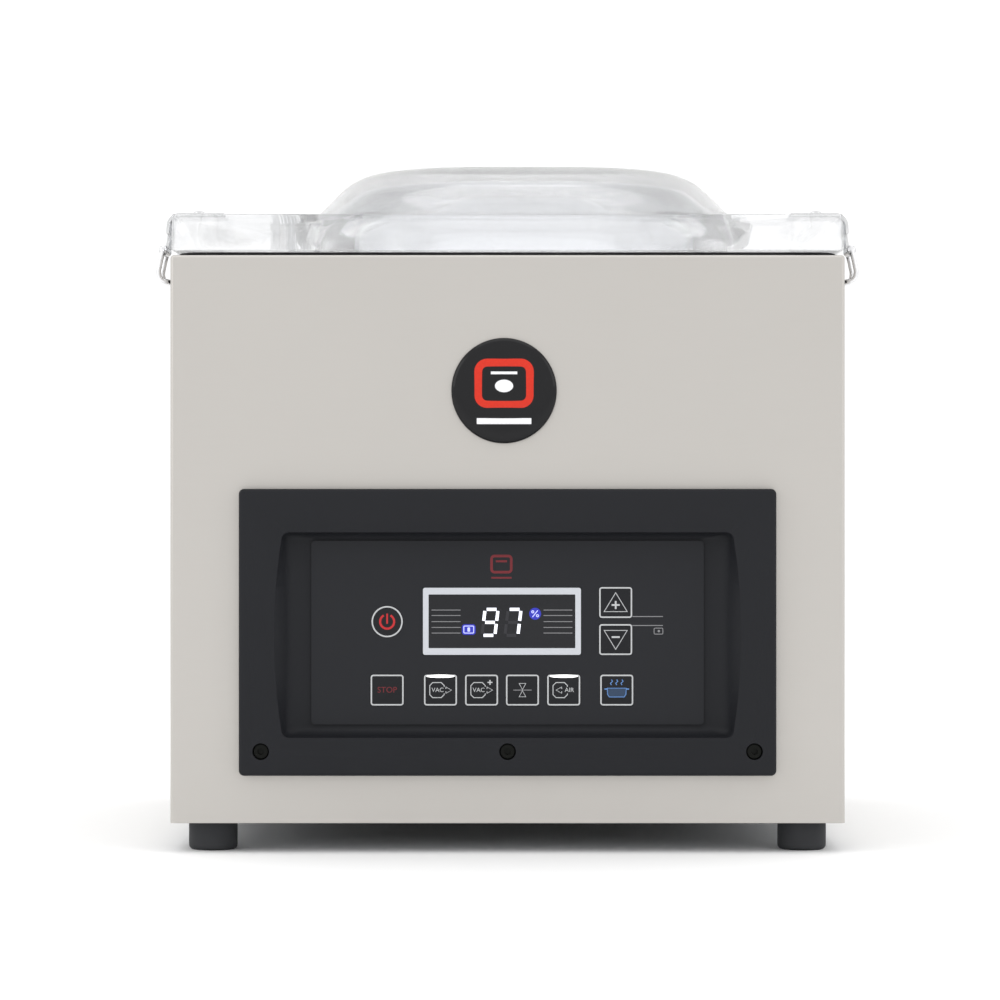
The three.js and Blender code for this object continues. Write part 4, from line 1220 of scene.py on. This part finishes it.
class SEALER_OT_lid(Builder, bpy.types.Operator):
    """Mould the clear domed lid, and the bar it presses on the bag with"""

    bl_idname = "sealer.lid"
    bl_label = "Lid"

    def build(self, sizes, colours):
        low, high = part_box("lid_plate")
        crown = high.z
        foot, top = low.z, low.z + LID_THICKNESS
        stretch, slope = sizes.dome_stretch, DOME_SLOPE
        centre_z = crown - sizes.dome_shoulder

        def ring(half, height):
            centre = (sizes.dome_shift, DOME_Y)
            return outline(half, half + stretch, DOME_CORNER * half, centre, 15), height

        def shoulder(inset):
            radius = sizes.dome_shoulder - inset
            angles = [slope * i / 9 for i in range(10)]
            return [(sizes.dome_flat + radius * math.sin(a), centre_z + radius * math.cos(a)) for a in angles]

        outer, inner = shoulder(0), shoulder(sizes.dome_wall)
        flank = 1 / math.tan(slope)
        base = outer[-1][0] + (outer[-1][1] - top) * flank
        run = sizes.dome_fillet * math.tan(slope / 2)
        dome = []
        for i in range(1, 7):
            angle = slope * i / 6
            dome.append(ring(
                base + run - sizes.dome_fillet * math.sin(angle),
                top + sizes.dome_fillet * (1 - math.cos(angle)),
            ))
        dome.insert(0, (dome[0][0], top - 6 * MM))
        dome += [ring(half, height) for half, height in reversed(outer)]

        bend = inner[-1][0] + (inner[-1][1] - top) * flank
        wall = 4 * MM / (top - foot + 2 * MM)
        mouth = bend + (top - foot) * wall
        hollow = [ring(mouth + 0.75 * MM, foot - 2 * MM)]
        hollow += [
            ring(mouth + grow * MM, foot + rise * MM)
            for grow, rise in ((0.75, 0), (0.4, 0.2), (0.15, 0.5), (0, 0.95))
        ]
        knee = 8 * MM
        start, end = (bend + knee * wall, top - knee), (bend - knee * flank, top + knee)
        for i in range(7):
            t = i / 6
            weights = ((1 - t) ** 2, 2 * t * (1 - t), t * t)
            hollow.append(ring(*(
                sum(w * p for w, p in zip(weights, values)) for values in zip(start, (bend, top), end)
            )))
        hollow += [ring(half, height) for half, height in reversed(inner)]
        lid = rounded_block("clear_lid", low, (high.x, high.y, top), 3 * MM, 2)
        for level in (foot, top):
            round_edges(lid, lambda a, b: near(a.z, level) and near(b.z, level), sizes.lid_edge, 4)
        fuse(lid, lofted("dome", dome))
        carve(lid, lofted("hollow", hollow))
        finish_piece(lid, LOOKS["clear_acrylic"], "lid", "clear_acrylic", "lid_plate", smooth=30)

        low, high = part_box("counter_bar_holder")
        rail = block("counter_rail", low, high)
        carve(rail, block("groove", (low.x - 1, -0.173, low.z - 1), (high.x + 1, -0.167, low.z + 2.3 * MM)))
        finish_piece(soften(rail, 0.4 * MM), LOOKS["aluminium"], "lid", "aluminium", "counter_bar_holder")
        low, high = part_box("silicone_counter_bar")
        press = rounded_block("counter_pad", low, (high.x, high.y, low.z + 3.4 * MM), 1 * MM, 0)
        fuse(press, block("tongue", (low.x, -0.1727, low.z + 3 * MM), (high.x, -0.1673, high.z)))
        finish_piece(press, LOOKS["silicone"], "lid", "silicone", "silicone_counter_bar")


class SEALER_OT_hinges(Builder, bpy.types.Operator):
    """Fit the two spring hinges behind the lid"""

    bl_idname = "sealer.hinges"
    bl_label = "Hinges"

    def build(self, sizes, colours):
        axis_y, axis_z = 221.5, 346.2
        for side, sign in SIDES.items():
            x = 120 * sign
            low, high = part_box(f"hinge_bracket_{side}")
            bracket = rounded_block("bracket", low, (high.x, low.y + 3 * MM, axis_z * MM - 6 * MM), 4 * MM, 1)
            ears = []
            for ear in (-26, 26):
                points = [(207.3, axis_z - 40), (223.5, axis_z - 30)]
                points += arc((axis_y, axis_z), 11, -45, 135, 14) + [(207.3, axis_z - 6)]
                profile = [at(*point) for point in points]
                solid = lofted("ear", [(profile, -2 * MM), (profile, 2 * MM)])
                solid.data.transform(Matrix.Rotation(math.pi / 2, 4, "X"))
                solid.data.transform(Matrix.Rotation(math.pi / 2, 4, "Z"))
                solid.data.transform(Matrix.Translation(Vector(at(x + ear, 0, 0))))
                ears.append(solid)
            fuse(bracket, *ears)
            carve(bracket, rod("bore", 4.3 * MM, at(x - 40, axis_y, axis_z), at(x + 40, axis_y, axis_z)))
            soften(bracket, 0.3 * MM)
            finish_piece(bracket, LOOKS["zinc_steel"], "case", "zinc_steel", f"hinge_bracket_{side}")
            bolts = [
                turned("bolt", [at(*pair) for pair in [(5, 0), (5, 2.2), (4.2, 3.2), (1, 3.4)]],
                       at(x + u, 210.3, axis_z - v), (0, 1, 0), 6)
                for u in (-16, 16) for v in (16, 40)
            ]
            finish_piece(joined(f"hinge_bolts_{side}", *bolts), LOOKS["zinc_steel"], "case", "zinc_steel")
            profile = [
                (3.2, 0), (4, 0.8), (4, 54.3), (6, 54.3), (6, 56), (5.4, 56.7), (3, 56.8),
            ]
            pin = turned(
                f"hinge_axle_{side}", [at(*pair) for pair in profile], at(x - 30, axis_y, axis_z), (1, 0, 0), 32
            )
            finish_piece(pin, LOOKS["bright_steel"], "case", "bright_steel", f"hinge_pin_{side}")
            turns = [2 * math.pi * i / 24 for i in range(4 * 24 + 1)]
            coil = [at(x - 22.3 + 9.6 * a / (8 * math.pi), axis_y + 6.6 * math.cos(a), axis_z + 6.6 * math.sin(a))
                    for a in turns]
            spring = drawn(f"hinge_coil_{side}", [coil], 1 * MM, facing=False)
            finish_piece(spring, LOOKS["bright_steel"], "case", "bright_steel", f"hinge_spring_{side}")
            profile = [(155, 364), (206.2, 364), (axis_y - 9, axis_z)]
            profile += arc((axis_y, axis_z), 9, 180, 396, 20) + [(215, 368), (155, 368)]
            points = [at(*point) for point in profile]
            leaf = lofted("leaf", [(points, -10.5 * MM), (points, 22.5 * MM)])
            leaf.data.transform(Matrix.Rotation(math.pi / 2, 4, "X"))
            leaf.data.transform(Matrix.Rotation(math.pi / 2, 4, "Z"))
            leaf.data.transform(Matrix.Translation(Vector(at(x, 0, 0))))
            carve(leaf, rod("bore", 4.3 * MM, at(x - 40, axis_y, axis_z), at(x + 40, axis_y, axis_z)))
            soften(leaf, 0.3 * MM)
            finish_piece(leaf, LOOKS["bright_steel"], "lid", "bright_steel", f"hinge_leaf_{side}")
            bolts = [
                turned("bolt", [at(*pair) for pair in [(4.6, 0), (4.6, 1.4), (3.4, 2.4), (1, 2.8)]],
                       at(x + 6, y, 368), (0, 0, 1), 32)
                for y in (165, 186)
            ]
            finish_piece(joined(f"leaf_bolts_{side}", *bolts), LOOKS["bright_steel"], "lid", "bright_steel")


class SEALER_OT_latches(Builder, bpy.types.Operator):
    """Fit the straps and wire bails on the lid's sides"""

    bl_idname = "sealer.latches"
    bl_label = "Side latches"

    def build(self, sizes, colours):
        top, pivot_x, pivot_z = 364.0, 6.6, 345.3
        bend = [(-29, top + 1), (-3.2, top + 1)] + arc((-3.2, top - 5.4), 6.4, 90, 6, 12)[1:]
        wide = strip("wide", [at(*point) for point in [*bend, (3.5, 354.3)]], 40 * MM, 2 * MM)
        narrow = strip("narrow", [at(3.45, 355), at(4.1, 350), at(4.6, 346.5)], 20 * MM, 2 * MM)
        barrel = turned(
            "barrel", [at(*pair) for pair in [(2.6, 0), (2.9, 0.3), (2.9, 19.7), (2.6, 20)]],
            at(pivot_x, -10, pivot_z), (0, 1, 0), 32,
        )
        carve(barrel, rod("bore", 1.8 * MM, at(pivot_x, -12, pivot_z), at(pivot_x, 12, pivot_z)))
        strap = soften(joined("strap", wide, narrow, barrel), 0.3 * MM, 2, 50)
        half = [
            (pivot_x, 13, pivot_z), (pivot_x + 1.9, 13, 337.1), (pivot_x + 2.6, 13, 331.6),
            (pivot_x + 1.2, 12.6, 328.3), (3.6, 11, 326.8), (2.1, 7.6, 326.6),
        ]
        loop = [at(*point) for point in half]
        loop += [(x, -y, z) for x, y, z in reversed(loop)]
        wire = joined(
            "bail",
            drawn("loop", [loop], sizes.wire, smooth=True, facing=False),
            rod("pin", sizes.wire, at(pivot_x, -13, pivot_z), at(pivot_x, 13, pivot_z)),
            *[turned("knob", [at(*pair) for pair in [(1.5, 0), (2.1, 0.3), (2.1, 1.5), (1.5, 1.9)]],
                     at(pivot_x, 12.1 * end - (0 if end > 0 else 1.9), pivot_z), (0, 1, 0), 24) for end in (-1, 1)],
        )
        for side, sign in SIDES.items():
            turn = 0 if sign > 0 else math.pi
            shift = at(192 * sign, -180, 0)
            finish_piece(
                copied(strap, f"strap_{side}", shift, turn), LOOKS["bright_steel"], "lid", "bright_steel",
                f"latch_strap_{side}",
            )
            finish_piece(
                copied(wire, f"bail_{side}", shift, turn), LOOKS["wire_steel"], f"latch_{side}", "bright_steel",
                f"latch_bail_{side}",
            )
            heads = [
                turned("rivet", [at(*pair) for pair in [(3.4, 0), (3.2, 0.9), (2.2, 1.5), (0.6, 1.7)]],
                       at(sign * 178, -180 + y, 366), (0, 0, 1), 32) for y in (-12, 12)
            ]
            finish_piece(joined(f"strap_rivets_{side}", *heads), LOOKS["bright_steel"], "lid", "bright_steel")
        for pattern in (strap, wire):
            bpy.data.objects.remove(pattern)


class SEALER_OT_chamber(Builder, bpy.types.Operator):
    """Build the deep-drawn chamber, its gasket, filler plate and suction nozzle"""

    bl_idname = "sealer.chamber"
    bl_label = "Chamber"

    def build(self, sizes, colours):
        floor, rim = 225.4, 340.4
        tub = rounded_block("chamber_tub", at(-165, -190, floor), at(165, 150, rim), 20 * MM, 2, 12)
        round_edges(tub, lambda a, b: near(a.z, floor * MM) and near(b.z, floor * MM), 4.5 * MM, 4)
        with editing(tub):
            choose("FACE", lambda centre, normal: normal.z > 0.9)
            bpy.ops.mesh.delete(type="FACE")
        applied(tub, "SOLIDIFY", thickness=sizes.sheet, offset=1, use_even_offset=True)
        flange = rounded_block("flange", at(-175, -200, 337.1), at(175, 160, 338.6), 30 * MM, 2, 12)
        carve(flange, rounded_block("hole", at(-165.8, -190.8, 330), at(165.8, 150.8, 350), 20.8 * MM, 2, 12))
        fuse(tub, flange)
        carve(
            tub, rod("port", 9.4 * MM, at(100, 145, 285.4), at(100, 155, 285.4)),
            *[rod("stem", 4.5 * MM, at(x, -170, floor - 5), at(x, -170, floor + 5)) for x in (-110, 110)],
        )
        finish_piece(tub, LOOKS["chamber_steel"], "case", "satin_steel", "vacuum_chamber")

        low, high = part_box("chamber_gasket")
        centre = (low + high) / 2
        half = 4.5 * MM
        lip = drawn(
            "gasket_lip", [outline(high.x - half, (high.y - low.y) / 2 - half, 9.5 * MM, steps=8)], half, True,
            flat=(high.z - low.z) / 2 / half, place=centre, facing=False,
        )
        finish_piece(lip, LOOKS["seal_rubber"], "case", "seal_rubber", "chamber_gasket")

        low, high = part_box("filler_plate")
        board = rounded_block("filler_board", low, high, 15 * MM, 2, 8)
        round_edges(board, lambda a, b: near(a.z, high.z) and near(b.z, high.z), 1.5 * MM, 3)
        holes = [
            rod("hole", 12.5 * MM, (x, 0.08, low.z - 0.01), (x, 0.08, high.z + 0.01), 48) for x in (-0.09, 0.09)
        ]
        carve(board, *holes)
        finish_piece(soften(board, 0.4 * MM), LOOKS["white_plastic"], "case", "white_plastic", "filler_plate")

        nozzle = turned(
            "nozzle", [at(r, h) for r, h in [(9, 29.3), (9, 3), (13.6, 3), (14, 2.6), (14, 0.6), (13.4, 0)]],
            at(100, 146.7, 285.4), (0, 1, 0), 48,
        )
        carve(nozzle, rod("bore", 5.5 * MM, at(100, 140, 285.4), at(100, 190, 285.4)))
        finish_piece(nozzle, LOOKS["bright_steel"], "case", "bright_steel", "suction_nozzle")


class SEALER_OT_seal_bar(Builder, bpy.types.Operator):
    """Build the seal bar, its woven tape, end clamps, pistons and cylinders"""

    bl_idname = "sealer.seal_bar"
    bl_label = "Seal bar"

    def build(self, sizes, colours):
        low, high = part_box("seal_bar")
        bar = block("seal_rail", low, high)
        grooves = []
        for sign in (-1, 1):
            edge = -170 + 7 * sign
            near_y, far_y = sorted((edge - 1.5 * sign, edge + 3 * sign))
            grooves.append(block("groove", at(-170, near_y, low.z / MM + 7), at(170, far_y, low.z / MM + 14)))
        carve(bar, *grooves)
        finish_piece(soften(bar, 0.4 * MM), LOOKS["aluminium"], "seal_bar", "aluminium", "seal_bar")
        low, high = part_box("seal_tape")
        tape = round_edges(
            block("tape_strip", low, high), lambda a, b: along(0, a, b) and near(a.z, high.z), 0.8 * MM, 3
        )
        finish_piece(tape, LOOKS["seal_tape"], "seal_bar", "seal_tape", "seal_tape")
        clamps = []
        for sign in (-1, 1):
            x0, x1 = sorted((sign * 158, sign * 146))
            clamps.append(soften(
                block("clamp", at(x0, -178, 313.2), at(x1, -176.6, 300.2)), 0.3 * MM
            ))
            clamps.append(turned(
                "screw", [at(*pair) for pair in [(2.6, 0), (2.4, 0.9), (1.4, 1.5), (0.4, 1.6)]],
                at(sign * 152, -178, 306.7), (0, -1, 0), 24,
            ))
        finish_piece(joined("tape_clamps", *clamps), LOOKS["bright_steel"], "seal_bar", "bright_steel")
        for side in SIDES:
            low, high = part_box(f"seal_piston_{side}")
            centre = (low + high) / 2
            height = (high.z - low.z) / MM
            rod_profile = [(5.4, 0), (6, 0.6), (6, height - 0.6), (5.4, height)]
            piston = turned(f"piston_rod_{side}", [at(*pair) for pair in rod_profile], (centre.x, centre.y, low.z))
            finish_piece(piston, LOOKS["bright_steel"], "seal_bar", "bright_steel", f"seal_piston_{side}")
            low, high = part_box(f"seal_cylinder_{side}")
            profile = [
                (4, 0), (4, 14.3), (17.6, 14.3), (18, 14.7), (18, 19.9), (17.6, 20.3), (15, 20.3), (15, 55.2),
                (14.2, 56), (8, 56),
            ]
            body = turned(f"cylinder_body_{side}", [at(*pair) for pair in profile], (centre.x, centre.y, low.z))
            carve(body, rod("bore", 6.3 * MM, (centre.x, centre.y, 0.2364), (centre.x, centre.y, 0.3), 40))
            finish_piece(body, LOOKS["aluminium"], "case", "aluminium", f"seal_cylinder_{side}")


class SEALER_OT_inlet(Builder, bpy.types.Operator):
    """Print the marks on the rocker of the mains inlet"""

    bl_idname = "sealer.inlet"
    bl_label = "Mains inlet"

    def build(self, sizes, colours):
        marks = [
            drawn("mark", [[at(0, 6.1), at(0, 2.9)]], 0.4 * MM, flat=0.3),
            drawn("mark", [ellipse(1.5 * MM, 1.5 * MM, at(0, -4.6), 20)], 0.35 * MM, True, flat=0.3),
        ]
        for mark, lean in zip(marks, (11.8, -11.8)):
            turn = Matrix.Rotation(math.radians(lean), 4, "X")
            mark.data.transform(Matrix.Translation(Vector(at(0, 6, 0))) @ turn)
        sign = joined("rocker_marks", *marks)
        turn = Matrix.Rotation(math.radians(-8), 4, "X")
        sign.data.transform(Matrix.Translation(Vector(at(140, 204, 90.5))) @ turn)
        finish_piece(sign, LOOKS["ink_white"], "rocker", "gloss_black")


class SEALER_OT_stage(Builder, bpy.types.Operator):
    """Set up the floor, the light and the camera"""

    bl_idname = "sealer.stage"
    bl_label = "Stage"

    def build(self, sizes, colours):
        alone(None)
        bpy.ops.mesh.primitive_plane_add(size=40)
        floor = settle("floor")
        floor.data.materials.append(LOOKS["floor_paper"])
        scene = bpy.context.scene
        scene.view_settings.view_transform = "Standard"
        world = bpy.data.worlds.new("studio")
        scene.world = world
        world.use_nodes = True
        back = world.node_tree.nodes["Background"]
        back.inputs["Color"].default_value = (1, 1, 1, 1)
        back.inputs["Strength"].default_value = 1.1
        lights = [
            ("top", at(0, -300, 2200), (0, 0, 0), 2.4, 12),
            ("left", at(-2400, -1500, 1300), at(0, 0, 200), 1.6, 9),
            ("right", at(2400, -1500, 1300), at(0, 0, 200), 1.6, 6),
        ]
        for name, place, target, size, power in lights:
            alone(None)
            bpy.ops.object.light_add(type="AREA", location=place)
            lamp = bpy.context.object
            lamp.name = "light_" + name
            lamp.data.shape = "SQUARE"
            lamp.data.size = size
            lamp.data.energy = power
            lamp.rotation_mode = "QUATERNION"
            lamp.rotation_quaternion = (Vector(target) - Vector(place)).to_track_quat("-Z", "Y")
        alone(None)
        bpy.ops.object.camera_add(location=at(-4.3, -2424.5, 200.9), rotation=(math.pi / 2, 0, 0))
        camera = bpy.context.object
        camera.data.lens = 139.2
        camera.data.sensor_width = 36
        scene.camera = camera


OPERATORS = (
    SEALER_OT_finishes, SEALER_OT_case, SEALER_OT_feet, SEALER_OT_rear, SEALER_OT_badge, SEALER_OT_bezel,
    SEALER_OT_keys, SEALER_OT_display, SEALER_OT_lid, SEALER_OT_hinges, SEALER_OT_latches, SEALER_OT_chamber,
    SEALER_OT_seal_bar, SEALER_OT_inlet, SEALER_OT_stage,
)


class SEALER_PT_panel(bpy.types.Panel):
    """Lists the operators and the sizes and colours they use"""

    bl_idname = "SEALER_PT_panel"
    bl_label = "Vacuum Chamber Sealer"
    bl_space_type = "VIEW_3D"
    bl_region_type = "UI"
    bl_category = "Sealer"

    def draw(self, context):
        layout = self.layout
        for operator in OPERATORS:
            layout.operator(operator.bl_idname)
        for group in (context.scene.sealer_sizes, context.scene.sealer_colours):
            column = layout.column()
            for name in group.__annotations__:
                column.prop(group, name)


CLASSES = (SealerSizes, SealerColours, *OPERATORS, SEALER_PT_panel)


def register():
    for kind in CLASSES:
        bpy.utils.register_class(kind)
    bpy.types.Scene.sealer_sizes = PointerProperty(type=SealerSizes)
    bpy.types.Scene.sealer_colours = PointerProperty(type=SealerColours)


def unregister():
    del bpy.types.Scene.sealer_sizes
    del bpy.types.Scene.sealer_colours
    for kind in reversed(CLASSES):
        bpy.utils.unregister_class(kind)


def main():
    register()
    for operator in OPERATORS:
        group, name = operator.bl_idname.split(".")
        getattr(getattr(bpy.ops, group), name)()


if __name__ == "__main__":
    main()
